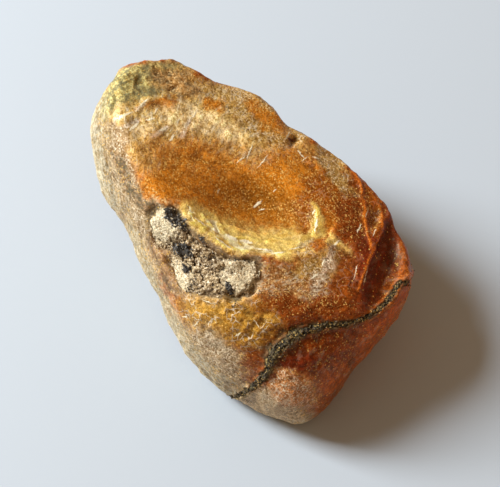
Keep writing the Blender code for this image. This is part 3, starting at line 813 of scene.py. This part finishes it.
def makeGritGroup():
    # ragged light and dark grit, thicker in some places than in others
    inputs = [("Vector", "Vector", None), ("Size", "Float", 2600.0), ("Amount", "Float", 0.5)]
    group, given, out = newGroup("grit", inputs, [("Light", "Float"), ("Dark", "Float")])
    fine = noiseOf(group, given["Vector"], given["Size"], 3.0, 0.7)[0]
    broad = noiseOf(group, given["Vector"], times(group, given["Size"], 0.2), 2.0)[0]
    crowd = times(group, given["Amount"], rampUp(group, broad, 0.35, 0.62, 0.6, 1.0))
    limit = maths(group, "SUBTRACT", 0.68, times(group, crowd, 0.16))
    feed(group, rampUp(group, fine, limit, maths(group, "ADD", limit, 0.04)), out["Light"])
    under = maths(group, "ADD", 0.32, times(group, crowd, 0.12))
    feed(group, rampUp(group, maths(group, "SUBTRACT", under, fine), -0.04, 0.05), out["Dark"])
    return group


grainGroup = makeGrainGroup()
speckGroup = makeSpeckGroup()
gritGroup = makeGritGroup()


def useGroup(tree, group, vector, **values):
    node = tree.nodes.new("ShaderNodeGroup")
    node.node_tree = group
    feed(tree, vector, node.inputs["Vector"])
    for label, value in values.items():
        feed(tree, value, node.inputs[label])
    return node.outputs


def newMaterial(name, roughness, specular):
    material = bpy.data.materials.new(name)
    material.use_nodes = True
    tree = material.node_tree
    shader = tree.nodes["Principled BSDF"].inputs
    shader["Roughness"].default_value = roughness
    shader["Specular IOR Level"].default_value = specular
    place = tree.nodes.new("ShaderNodeTexCoord").outputs["Object"]
    return material, tree, shader, place


def bumpOf(tree, height, distance, strength=1.0, below=None):
    node = tree.nodes.new("ShaderNodeBump")
    node.inputs["Strength"].default_value = strength
    node.inputs["Distance"].default_value = distance
    feed(tree, height, node.inputs["Height"])
    if below is not None:
        feed(tree, below, node.inputs["Normal"])
    return node.outputs["Normal"]


def attributeOf(tree, name, output="Fac"):
    node = tree.nodes.new("ShaderNodeAttribute")
    node.attribute_name = name
    return node.outputs[output]


amberMaterial = {
    "clearness": 0.36,
    "specular": 0.2,
    "specularTint": (1.0, 0.72, 0.38),
    "ior": 1.54,
    "absorbs": (0.95, 0.74, 0.12),   # the colour that is left as light goes through
    "density": 130.0,
    "coat": 0.06,
    "coatRoughness": 0.12,
    "grain": {"Size": 1700.0, "Fineness": 2.4, "Contrast": 1.7},
    "grainDark": (0.56, 0.46, 0.3),
    "grainLight": (1.3, 1.34, 1.6),
    "cleanGrain": 0.45,              # how much of the grain shows on the clean break
    "foldSize": 260.0,               # sizes are bumps or cells in a metre
    "foldShift": 0.005,              # shifts are in metres
    "leafSize": 430.0,
    "gritSize": 2700.0,
    "speckSize": 3400.0,
    "warpSize": 500.0,
    "warpShift": 0.0022,
    "crackSize": 740.0,
    "mossSize": 620.0,
    "scratchSize": 1900.0,
    "scratchShift": 0.0006,
    "streakSize": 1.5,               # and this one in steps of the fan
    # the specks' colours: dust, with painted sparkle
    "dustAndSparkle": tint(250, 206, 112),
    "paleDustAndSparkle": tint(255, 240, 206),
    "dirt": (0.34, 0.22, 0.12),
    "crack": tint(255, 244, 214),
    "moss": tint(90, 92, 72),
    "streak": tint(255, 248, 214),
    "deepStreak": (0.84, 0.56, 0.2),
    "flakeDark": (0.6, 0.44, 0.16),
    "flakeLight": (1.3, 1.36, 1.7),
    "scratchAndGlint": tint(255, 248, 214),
}

# Pale scratches and painted glints on the break: centre, half length, half width and turn.
amberScratchesAndGlints = [
    (0.9, 16.4, 1.7, 0.18, 68), (-0.6, 15.0, 1.4, 0.16, 38), (3.2, 14.7, 2.0, 0.13, 52),
    (7.6, 19.4, 1.7, 0.15, 62), (9.9, 16.0, 1.2, 0.15, -50), (10.6, 15.2, 1.0, 0.11, 40),
    (12.6, 15.4, 0.9, 0.12, -15), (-11.6, 21.4, 0.8, 0.16, 72), (-19.2, 20.4, 1.4, 0.3, 40),
    (-14.2, 20.0, 1.0, 0.26, 28), (-12.6, 18.6, 0.9, 0.3, 62), (-16.4, 21.8, 1.1, 0.24, 10),
    (-20.4, 22.6, 1.3, 0.3, 20), (-17.4, 24.8, 1.2, 0.26, 46), (-15.4, 23.4, 0.7, 0.2, 60),
    (-8.8, 22.8, 0.8, 0.16, 70), (-7.6, 4.0, 1.9, 0.15, -36), (-5.0, 2.5, 0.7, 0.34, -48),
    (-2.3, 1.3, 1.4, 0.42, -26), (0.2, 0.6, 1.5, 0.36, -12), (-3.6, 0.3, 2.6, 0.14, -36),
    (3.4, -0.8, 2.0, 0.2, -8), (8.6, -0.6, 1.3, 0.12, 14), (6.0, -1.3, 1.6, 0.16, 6),
    (2.2, 7.1, 1.1, 0.32, 38), (3.0, 6.2, 0.7, 0.16, 12), (-4.6, 9.4, 0.5, 0.12, 70),
    (5.2, 9.6, 0.5, 0.12, 50), (12.4, 3.4, 1.6, 0.24, 78), (12.0, 5.8, 0.7, 0.22, 60),
    (16.0, 0.4, 0.9, 0.2, 40), (20.0, 2.9, 1.1, 0.16, 60), (21.4, 5.6, 1.0, 0.1, 70),
    (22.7, 2.2, 0.9, 0.14, 64), (12.0, -5.4, 1.0, 0.26, 40), (13.6, -3.0, 0.8, 0.24, 70),
    (3.2, -14.6, 1.8, 0.12, 46), (2.0, -13.4, 1.2, 0.11, -52), (-1.2, -15.4, 0.8, 0.2, 30),
    (-10.4, -12.4, 0.7, 0.18, 10), (-6.2, -9.8, 1.6, 0.12, -20), (-8.4, -13.6, 1.1, 0.12, 50),
    (20.9, -5.6, 2.4, 0.1, 74), (19.2, -4.6, 1.8, 0.1, 74),
]


def scratchAndGlintMask(tree, place, skin):
    # the scratches and painted glints are thin ellipses, each found by turning and stretching the object's
    # coordinates on to it
    turned = Matrix((rightward, upward, outward)).transposed()
    wander = noiseOf(tree, place, amberMaterial["scratchSize"], 3.0)["Color"]
    moved = shifted(tree, amberMaterial["scratchShift"], wander, place)
    marks = None
    for right, up, length, width, turn in amberScratchesAndGlints:
        centre = skinAt(skin, right, up)[0] + Vector([amberMaterial["scratchShift"] / 2] * 3)
        fit = tree.nodes.new("ShaderNodeMapping")
        fit.vector_type = "TEXTURE"
        fit.inputs["Location"].default_value = centre
        spun = turned @ Matrix.Rotation(math.radians(turn), 3, "Z")
        fit.inputs["Rotation"].default_value = spun.to_euler()
        fit.inputs["Scale"].default_value = (length * mm, width * mm, 1.5 * mm)
        feed(tree, moved, fit.inputs["Vector"])
        ball = tree.nodes.new("ShaderNodeTexGradient")
        ball.gradient_type = "SPHERICAL"
        feed(tree, fit.outputs[0], ball.inputs[0])
        marks = ball.outputs[1] if marks is None else maths(tree, "MAXIMUM", marks, ball.outputs[1])
    return rampUp(tree, marks, 0.0, 0.45)


def makeAmberMaterial(body):
    look = amberMaterial
    material, tree, shader, place = newMaterial("raw_amber", 0.4, look["specular"])
    shader["IOR"].default_value = look["ior"]
    shader["Specular Tint"].default_value = (*look["specularTint"], 1)
    shader["Transmission Weight"].default_value = look["clearness"]
    shader["Coat Roughness"].default_value = look["coatRoughness"]
    absorption = tree.nodes.new("ShaderNodeVolumeAbsorption")
    absorption.inputs["Color"].default_value = (*look["absorbs"], 1)
    absorption.inputs["Density"].default_value = look["density"]
    tree.links.new(absorption.outputs[0], tree.nodes["Material Output"].inputs["Volume"])

    dustAndSparkle, matt, streak, flake, craze, mottle = (attributeOf(tree, effect) for effect in effects)
    fan = attributeOf(tree, "fan", "Vector")
    grain = useGroup(tree, grainGroup, place, **look["grain"])
    uneven = blendColours(tree, grain["Value"], look["grainDark"], look["grainLight"])
    worn = rampUp(tree, matt, 0.2, 0.42, look["cleanGrain"], 1.0)
    shade = blendColours(tree, worn, attributeOf(tree, "tone", "Color"), uneven, "MULTIPLY")

    # thin flakes under the surface, each with its own brightness: partly their own tone, partly painted
    # internal reflection
    folds = noiseOf(tree, place, look["foldSize"], 2.0)["Color"]
    leaves = cellsOf(tree, shifted(tree, look["foldShift"], folds, place), look["leafSize"])
    flakes = blendColours(tree, leaves["Color"], look["flakeDark"], look["flakeLight"])
    shade = coverWith(tree, shade, filtered(tree, shade, flakes), flake, 0.8)

    # pale streaks that fan out over the hackled part, with darker ones between
    streaks = noiseOf(tree, fan, look["streakSize"], 4.0, 0.6)[0]
    pale = times(tree, rampUp(tree, streaks, 0.52, 0.66), streak)
    deep = times(tree, rampUp(tree, streaks, 0.46, 0.34), streak)
    shade = coverWith(tree, shade, filtered(tree, shade, look["deepStreak"]), deep, 0.8)
    shade = coverWith(tree, shade, look["streak"], pale, 0.7)

    # grit, and specks of real dust with painted sparkle
    grit = useGroup(tree, gritGroup, place, Size=look["gritSize"], Amount=dustAndSparkle)
    grime = times(tree, grit["Dark"], times(tree, dustAndSparkle, worn))
    shade = coverWith(tree, shade, filtered(tree, shade, look["dirt"]), grime, 0.6)
    share = times(tree, dustAndSparkle, 0.2)
    fine = useGroup(tree, speckGroup, place, Size=look["speckSize"], Share=share, Width=0.5)
    coarse = times(tree, grit["Light"], maths(tree, "POWER", dustAndSparkle, 0.5))
    specks = maths(tree, "MAXIMUM", fine["Mask"], coarse)
    dustAndSparkleTone = blendColours(tree, rampUp(tree, dustAndSparkle, 0.82, 1.0), look["dustAndSparkle"], look["paleDustAndSparkle"])
    shade = coverWith(tree, shade, dustAndSparkleTone, specks, 0.9)

    # fine white cracks
    warp = noiseOf(tree, place, look["warpSize"], 3.0)
    warped = shifted(tree, look["warpShift"], warp["Color"], place)
    edges = cellsOf(tree, warped, look["crackSize"], "DISTANCE_TO_EDGE")["Distance"]
    cracks = maths(tree, "SUBTRACT", 1.0, rampUp(tree, edges, 0.0, 0.08))
    cracks = times(tree, times(tree, cracks, rampUp(tree, warp[0], 0.44, 0.58)), craze)
    shade = coverWith(tree, shade, look["crack"], cracks, 0.8)

    # grey-green mottling, and the scratches and painted glints
    moss = rampUp(tree, noiseOf(tree, place, look["mossSize"], 6.0, 0.85)[0], 0.46, 0.56)
    shade = coverWith(tree, shade, look["moss"], times(tree, moss, mottle), 0.8)
    scratchesAndGlints = scratchAndGlintMask(tree, place, treeOf(body))
    shade = coverWith(tree, shade, look["scratchAndGlint"], scratchesAndGlints, 0.9)
    feed(tree, shade, shader["Base Color"])

    rough = maths(tree, "ADD", matt, times(tree, specks, 0.35))
    swing = times(tree, maths(tree, "SUBTRACT", grain["Value"], 0.5), 0.24)
    feed(tree, maths(tree, "ADD", rough, swing, clamp=True), shader["Roughness"])
    feed(tree, rampUp(tree, matt, 0.25, 0.6, look["coat"], 0.0), shader["Coat Weight"])

    normal = bumpOf(tree, grain["Height"], 0.0003, 0.5)
    normal = bumpOf(tree, times(tree, leaves["Distance"], flake), 0.0004, 0.7, normal)
    marks = maths(tree, "ADD", maths(tree, "ADD", specks, cracks), maths(tree, "ADD", scratchesAndGlints, pale))
    feed(tree, bumpOf(tree, marks, 0.00007, 0.8, normal), shader["Normal"])
    return material


# sandy clay
clayCrust = {
    "voxel": 0.2 * mm,
    "swell": 0.4 * mm,
    "base": 0.35,             # thickness without the lumps, in millimetres
    "feather": 0.9,           # width of its thin margin
    "below": -0.5,
    "bumps": (0.2, 0.4),      # heights on the lumps, and what the crumbly ground between them adds
    "crumbs": (0.1, 0.16),
    "crevices": (0.1, 0.7),
    "light": tint(160, 138, 100),
    "paleLight": tint(204, 193, 160),
    "deep": tint(84, 64, 42),
    "paleDeep": tint(142, 126, 96),
    "darkGrit": tint(66, 48, 32),
    "lightGrit": tint(246, 234, 206),
    # the painted shade in the crust's hollows
    "creviceShade": tint(44, 32, 22),
}
# its lumps: centre, half sizes, turn and height
clayLumps = [
    ((-14.3, 3.4), (2.6, 3.0), 20, 0.8),
    ((-11.4, -5.4), (2.3, 2.6), 20, 0.95),
    ((-1.0, -4.8), (3.2, 3.2), 0, 0.75),
    ((-1.4, -7.4), (1.8, 1.6), 0, 0.5),
    ((-6.4, -5.0), (2.4, 2.6), 0, 0.3),
]


def makeClayCrust(lidHeight):
    # a thin slab on the amber's skin, with low lumps, crumbs, crevices and feathered margins
    crust = copyNode("clay_crust", "sandy_clay", clayCrust["swell"])
    finishWith(crust, "REMESH", mode="VOXEL", voxel_size=clayCrust["voxel"])
    points = pointsOf(crust)
    side = toSide(points)
    upper = ease(0.0, 0.3, normalsOf(crust) @ np.array(outward))
    inset = clayInset(side) + 0.1 + 0.7 * wobble(side, 1.5, 31, 4)
    height = np.full(len(side), clayCrust["base"])
    for at, size, turn, rise in clayLumps:
        height += rise * blobMask(side, at, size, turn, 0.8)

    def lumpMask(soft):
        return np.max([blobMask(side, *lump[:3], soft) for lump in clayLumps[:3]], axis=0)

    crumbly = 1 - lumpMask(0.4)
    bumps, crumbs, crevices = (clayCrust[name][0] + clayCrust[name][1] * crumbly
                               for name in ("bumps", "crumbs", "crevices"))
    height += bumps * wobble(side, 1.3, 32, 4) + crumbs * wobble(side, 0.45, 33, 2)
    height -= crevices * (1 - ease(0.0, 0.1, np.abs(wobble(side, 3.0, 34, 3))))
    height = np.maximum(height, 0.04) * ease(0, clayCrust["feather"], inset)
    height -= 0.3 * (1 - ease(-0.3, 0.15, inset))
    lid = lidHeight(side)
    top = lid + height
    bottom = np.clip(side[:, 2], lid + clayCrust["below"], top)
    side[:, 2] = bottom + (top - bottom) * upper
    setPoints(crust, fromSide(side))
    finishWith(crust, "SMOOTH", factor=0.4, iterations=1)
    # painted shade: how deep each point lies in a hollow of the crust, kept as a mask
    keepMask(crust, "hollow", 0.5 - ridgesOf(crust, 8) * 5)
    keepMask(crust, "pale", lumpMask(0.5))
    shadeSmooth(crust)
    print("sandy clay:", triangleCount(crust), "triangles")
    return crust


def makeClayMaterial():
    look = clayCrust
    material, tree, shader, place = newMaterial("sandy_clay", 0.95, 0.2)
    grain = useGroup(tree, grainGroup, place, Size=700.0, Fineness=5.0, Contrast=0.9)
    pale = attributeOf(tree, "pale")
    light = blendColours(tree, pale, look["light"], look["paleLight"])
    deep = blendColours(tree, pale, look["deep"], look["paleDeep"])
    shade = blendColours(tree, grain["Value"], deep, light)
    grit = useGroup(tree, gritGroup, place, Size=2600.0, Amount=0.9)
    shade = coverWith(tree, shade, look["darkGrit"], grit["Dark"], 0.7)
    shade = coverWith(tree, shade, look["lightGrit"], grit["Light"], 0.6)
    # painted shade: the crust's hollows darkened nearly to black
    hollow = rampUp(tree, attributeOf(tree, "hollow"), 0.62, 1.0)
    shade = coverWith(tree, shade, look["creviceShade"], hollow, 0.85)
    feed(tree, shade, shader["Base Color"])
    feed(tree, bumpOf(tree, grain["Height"], 0.0005), shader["Normal"])
    return material


# the seam's residue
seamResidue = {
    "voxel": 0.2 * mm,
    "top": 0.3 * mm,                 # how far its top lies under the amber's skin
    "press": 0.9,                    # how much of what stands above that is pushed down
    "swell": 0.5 * mm,
    "lumps": (0.9 * mm, 0.6 * mm),   # size and height
    "crumbs": (0.3 * mm, -0.3 * mm),
    "light": tint(138, 116, 66),
    "darkLight": tint(80, 72, 46),
    "deep": tint(22, 18, 13),
    "grit": tint(172, 146, 84),
    # the painted shade in the residue's hollows
    "hollow": tint(8, 7, 6),
}


def makeSeamResidue(skin):
    residue = copyNode("seam_filling", "seam_residue", seamResidue["swell"])
    finishWith(residue, "REMESH", mode="VOXEL", voxel_size=seamResidue["voxel"])
    finishWith(residue, "SMOOTH", factor=0.5, iterations=2)
    # pressed down until it lies a little under the amber's skin
    points = pointsOf(residue)
    for number, point in enumerate(points):
        place, normal = skin.find_nearest(Vector(point))[:2]
        height = (Vector(point) - place).dot(normal)
        if height > -seamResidue["top"]:
            above = np.array(normal) * (height + seamResidue["top"])
            points[number] = point - above * seamResidue["press"]
    setPoints(residue, points)
    roughenWith(residue, "CLOUDS", *seamResidue["lumps"], noise_depth=2)
    roughenWith(residue, "VORONOI", *seamResidue["crumbs"])
    side = toSide(pointsOf(residue))
    wandered = side + 0.4 * wobble(side, 1.2, 35, 2)[:, None]
    distance, sign = lineDistance(wandered, [point[:2] for point in seamLine])[:2]
    keepMask(residue, "dark", ease(-0.7, 0.1, sign * distance + 0.3))
    # painted shade: how deep each point lies in a hollow of the residue, kept as a mask
    keepMask(residue, "hollow", 0.5 - ridgesOf(residue, 6) * 6)
    shadeSmooth(residue)
    print("seam residue:", triangleCount(residue), "triangles")
    return residue


def makeResidueMaterial():
    look = seamResidue
    material, tree, shader, place = newMaterial("seam_residue", 0.85, 0.3)
    grain = useGroup(tree, grainGroup, place, Size=760.0, Fineness=4.0, Contrast=1.3)
    light = blendColours(tree, attributeOf(tree, "dark"), look["light"], look["darkLight"])
    shade = blendColours(tree, grain["Value"], look["deep"], light)
    grit = useGroup(tree, gritGroup, place, Size=2200.0, Amount=1.0)
    shade = coverWith(tree, shade, look["grit"], grit["Light"], 0.55)
    # painted shade: the residue's hollows darkened nearly to black
    hollow = rampUp(tree, attributeOf(tree, "hollow"), 0.55, 0.95)
    shade = coverWith(tree, shade, look["hollow"], hollow, 0.85)
    feed(tree, shade, shader["Base Color"])
    feed(tree, bumpOf(tree, grain["Height"], 0.0005), shader["Normal"])
    return material


def makeGrainMaterial(name, dark, light, roughness, specular=0.4):
    material, tree, shader, place = newMaterial(name, roughness, specular)
    grain = useGroup(tree, grainGroup, place, Size=1500.0, Fineness=3.0, Contrast=0.9)
    feed(tree, blendColours(tree, grain["Value"], tint(*dark), tint(*light)), shader["Base Color"])
    feed(tree, bumpOf(tree, grain["Height"], 0.0002, 0.6), shader["Normal"])
    return material


# loose grains and flecks: a few shapes, copied and joined
def anyWay(chance):
    return Vector([chance.uniform(-1, 1) for axis in range(3)])


def grainShape(name, length, flat, cuts, seed):
    # a ball cut by a few planes, stretched and flattened
    chance = random.Random(seed)
    bpy.ops.object.select_all(action="DESELECT")
    bpy.ops.mesh.primitive_ico_sphere_add(subdivisions=1, radius=1.0)
    shape = bpy.context.object
    shape.name = name
    bpy.ops.object.mode_set(mode="EDIT")
    for cut in range(cuts):
        bpy.ops.mesh.select_all(action="SELECT")
        way = anyWay(chance).normalized()
        place = way * chance.uniform(0.35, 0.7)
        bpy.ops.mesh.bisect(plane_co=place, plane_no=way, use_fill=True, clear_outer=True)
    bpy.ops.mesh.select_all(action="SELECT")
    bpy.ops.mesh.quads_convert_to_tris()
    bpy.ops.transform.resize(value=(length, 0.8, flat))
    bpy.ops.object.mode_set(mode="OBJECT")
    return shape


def joinCopies(name, shapes, places):
    # one mesh of many copies; a place is a point, a turn, a size and the number of its shape
    corners, faces, count = [], [], 0
    models = [(pointsOf(shape), [tuple(face.vertices) for face in shape.data.polygons])
              for shape in shapes]
    for point, turn, size, which in places:
        own, ownFaces = models[which]
        corners.append(own * size @ np.array(turn).T + np.array(point))
        faces += [tuple(corner + count for corner in face) for face in ownFaces]
        count += len(own)
    mesh = bpy.data.meshes.new(name)
    mesh.from_pydata(np.concatenate(corners), [], faces)
    joined = newThing(name, mesh)
    print(name + ":", len(places), "grains,", triangleCount(joined), "triangles")
    return joined


def turnTo(normal, chance, tilt):
    # a frame whose third axis leans at most a little away from the normal
    lean = anyWay(chance) * tilt
    third = (normal + lean).normalized()
    first = third.orthogonal().normalized()
    spin = chance.uniform(0, math.tau)
    first = (first * math.cos(spin) + third.cross(first) * math.sin(spin)).normalized()
    return np.array([first, third.cross(first), third]).T


def scatterAt(skins, heaps, seed, tilt):
    # grains dropped on the highest of the skins, round the given places of the best side
    chance = random.Random(seed)
    places = []
    for at, (length, width), turn, count, (low, high), crowd in heaps:
        angle = math.radians(turn)
        for copy in range(count):
            spin, out = chance.uniform(0, math.tau), chance.random() ** crowd
            along = out * math.cos(spin) * length
            across = out * math.sin(spin) * width
            right = at[0] + along * math.cos(angle) - across * math.sin(angle)
            up = at[1] + along * math.sin(angle) + across * math.cos(angle)
            found = [skinAt(skin, right, up) for skin in skins]
            point, normal = max(found, key=lambda hit: hit[0].dot(outward))
            size = (low + (high - low) * chance.random() ** 2) * mm
            turned = turnTo(normal, chance, tilt)
            places.append((point - normal * size * 0.25, turned, size, chance.randrange(4)))
    return places


# heaps of loose grains: centre, half sizes, turn, count, smallest and largest, and how much they
# crowd to the middle, where 0.5 is even
ligniteHeaps = [
    ((-11.9, 4.6), (2.4, 1.1), -42, 190, (0.12, 0.55), 0.6),
    ((-10.0, 2.6), (0.7, 0.6), 0, 24, (0.12, 0.34), 0.7),
    ((-10.6, -0.9), (1.9, 1.3), -30, 190, (0.14, 0.6), 0.7),
    ((-10.1, -4.2), (0.8, 0.7), 0, 60, (0.16, 0.6), 0.7),
    ((-8.8, -6.2), (2.2, 0.3), 58, 30, (0.1, 0.3), 0.5),
    ((-7.2, 0.7), (1.3, 0.35), -60, 30, (0.1, 0.3), 0.5),
    ((-5.8, -1.8), (1.1, 0.6), 0, 20, (0.1, 0.26), 0.5),
    ((-0.6, -2.7), (2.6, 0.22), -6, 50, (0.08, 0.24), 0.5),
    ((-2.6, -7.4), (0.45, 1.1), 20, 60, (0.16, 0.55), 0.5),
    ((-0.6, -9.2), (2.2, 0.3), 34, 24, (0.08, 0.24), 0.5),
    ((3.4, -8.2), (2.2, 0.4), -10, 16, (0.08, 0.2), 0.5),
    ((-20.0, 10.2), (1.6, 0.8), -50, 30, (0.08, 0.28), 0.5),
    ((-8.4, -2.0), (7.6, 4.6), -32, 90, (0.06, 0.2), 0.5),
    ((-13.0, 26.6), (5.0, 1.2), 14, 16, (0.08, 0.2), 0.5),
]
sandHeaps = [
    ((-13.4, 2.0), (4.4, 3.0), -70, 240, (0.08, 0.24), 0.5),
    ((-8.4, -3.4), (4.6, 3.2), -30, 300, (0.08, 0.28), 0.5),
    ((-1.6, -5.6), (3.8, 3.0), -20, 260, (0.08, 0.28), 0.5),
    ((-6.6, -1.6), (12.0, 7.6), -34, 200, (0.06, 0.16), 0.5),
    ((-18.6, 7.4), (1.8, 4.4), 40, 70, (0.06, 0.16), 0.5),
]
seamCrumbs = {"dark": (620, 0.08, 0.36), "pale": (300, 0.06, 0.18), "spread": 0.7}


def crumbPlaces(course, skins, count, low, high, seed):
    # crumbs along the seam, most of them near its middle
    chance = random.Random(seed)
    places = []
    for copy in range(count):
        place, width = course[chance.randrange(len(course))]
        spread = [chance.gauss(0, 1) * width * mm * seamCrumbs["spread"] for axis in range(3)]
        spot = place + Vector(spread)
        found = [skin.find_nearest(spot)[:2] for skin in skins]
        point, normal = max(found, key=lambda hit: (hit[0] - place).dot(hit[1]))
        size = (low + (high - low) * chance.random() ** 2) * mm
        turned = turnTo(normal, chance, 0.6)
        places.append((point - normal * size * 0.3, turned, size, chance.randrange(4)))
    return places


# floor, light and camera
studio = {
    "floorSize": 3,
    "floorColour": (0.345, 0.39, 0.43),
    "keyFrom": (-0.955, 0.30),   # rightward and away from the camera, along the floor
    "keyRise": 40.0,             # degrees
    "keyAim": 0.015,             # height that it is turned to
    "keyDistance": 0.75,
    "keySize": (0.22, 0.42),
    "keyPower": 14.6,
    "keyColour": (0.94, 0.97, 1.0),
    "fillColour": (1.0, 0.66, 0.40),
    "fillStrength": 0.46,
}
viewing = {
    "distance": 400.0,           # millimetres from the middle
    "frameWidth": 89.0,          # millimetres across the picture at the middle
    "sensor": 36,
    "offset": (0.89, 0.267),     # the picture's centre from the middle, right and up
}


def makeStudio():
    bpy.ops.object.select_all(action="DESELECT")
    bpy.ops.mesh.primitive_plane_add(size=studio["floorSize"], location=(0, 0, 0))
    floor = bpy.context.object
    floor.name = "floor"
    material, tree, shader, place = newMaterial("pale_paper", 0.9, 0.1)
    shader["Base Color"].default_value = (*studio["floorColour"], 1)
    floor.data.materials.append(material)

    away = Vector((0, 0, 1)).cross(rightward)
    flat = (rightward * studio["keyFrom"][0] + away * studio["keyFrom"][1]).normalized()
    rise = math.radians(studio["keyRise"])
    way = flat * math.cos(rise) + Vector((0, 0, math.sin(rise)))
    key = bpy.data.lights.new("window_light", "AREA")
    key.shape = "RECTANGLE"
    key.size, key.size_y = studio["keySize"]
    key.energy = studio["keyPower"]
    key.color = studio["keyColour"]
    lamp = newThing("window_light", key)
    lamp.location = Vector((0, 0, studio["keyAim"])) + way * studio["keyDistance"]
    lamp.rotation_euler = way.to_track_quat("Z", "Y").to_euler()

    world = bpy.data.worlds.new("room")
    world.use_nodes = True
    background = world.node_tree.nodes["Background"]
    background.inputs["Color"].default_value = (*studio["fillColour"], 1)
    background.inputs["Strength"].default_value = studio["fillStrength"]
    bpy.context.scene.world = world
    bpy.context.scene.view_settings.view_transform = "Standard"


def makeCamera():
    data = bpy.data.cameras.new("camera")
    camera = newThing("camera", data)
    offset = rightward * viewing["offset"][0] + upward * viewing["offset"][1]
    place = (Vector(bestSide["middle"]) + offset + outward * viewing["distance"]) * mm
    turn = Matrix((rightward, upward, outward)).transposed().to_4x4()
    camera.matrix_world = Matrix.Translation(place) @ turn
    data.sensor_width = viewing["sensor"]
    data.lens = viewing["sensor"] * viewing["distance"] / viewing["frameWidth"]
    data.clip_start = 0.01
    bpy.context.scene.camera = camera


# making it all
amber, course, lidHeight, plainSkin = makeAmberBody()
amber.data.materials.append(makeAmberMaterial(amber))
amberSkin = treeOf(amber)
clay = makeClayCrust(lidHeight)
clay.data.materials.append(makeClayMaterial())
residue = makeSeamResidue(plainSkin)
residue.data.materials.append(makeResidueMaterial())

grainFlatness = (0.9, 0.7, 0.6, 0.8)
chipFlatness = (0.5, 0.4, 0.6, 0.45)
grains = [grainShape("grain", 1.0, flat, 3, 40 + number) for number, flat in enumerate(grainFlatness)]
chips = [grainShape("chip", 1.7, flat, 5, 60 + number) for number, flat in enumerate(chipFlatness)]
skins = [amberSkin, treeOf(clay)]
seamSkins = [amberSkin, treeOf(residue)]
lignite = joinCopies("lignite_flecks", chips, scatterAt(skins, ligniteHeaps, 71, 0.9))
sand = joinCopies("sand_grains", grains, scatterAt(skins, sandHeaps, 72, 0.6))
darkCrumbs = joinCopies("dark_crumbs", chips, crumbPlaces(course, seamSkins, *seamCrumbs["dark"], 73))
paleCrumbs = joinCopies("pale_crumbs", grains, crumbPlaces(course, seamSkins, *seamCrumbs["pale"], 74))
for shape in grains + chips:
    bpy.data.objects.remove(shape)
lignite.data.materials.append(makeGrainMaterial("lignite", (12, 12, 12), (76, 71, 62), 0.5))
darkCrumbs.data.materials.append(makeGrainMaterial("dark_crumbs", (12, 10, 8), (92, 76, 50), 0.7))
sand.data.materials.append(makeGrainMaterial("sand", (140, 112, 74), (226, 208, 170), 0.85, 0.2))
paleCrumbs.data.materials.append(makeGrainMaterial("pale_crumbs", (130, 98, 48), (214, 178, 104), 0.6))

for piece, slot in ((amber, "amber"), (clay, "clay"), (residue, "residue"), (lignite, "clay"),
                    (sand, "clay"), (darkCrumbs, "residue"), (paleCrumbs, "residue")):
    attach(piece, "root")
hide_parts("amber_nodule")
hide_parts("clay_crust")
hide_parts("seam_filling")

makeStudio()
makeCamera()
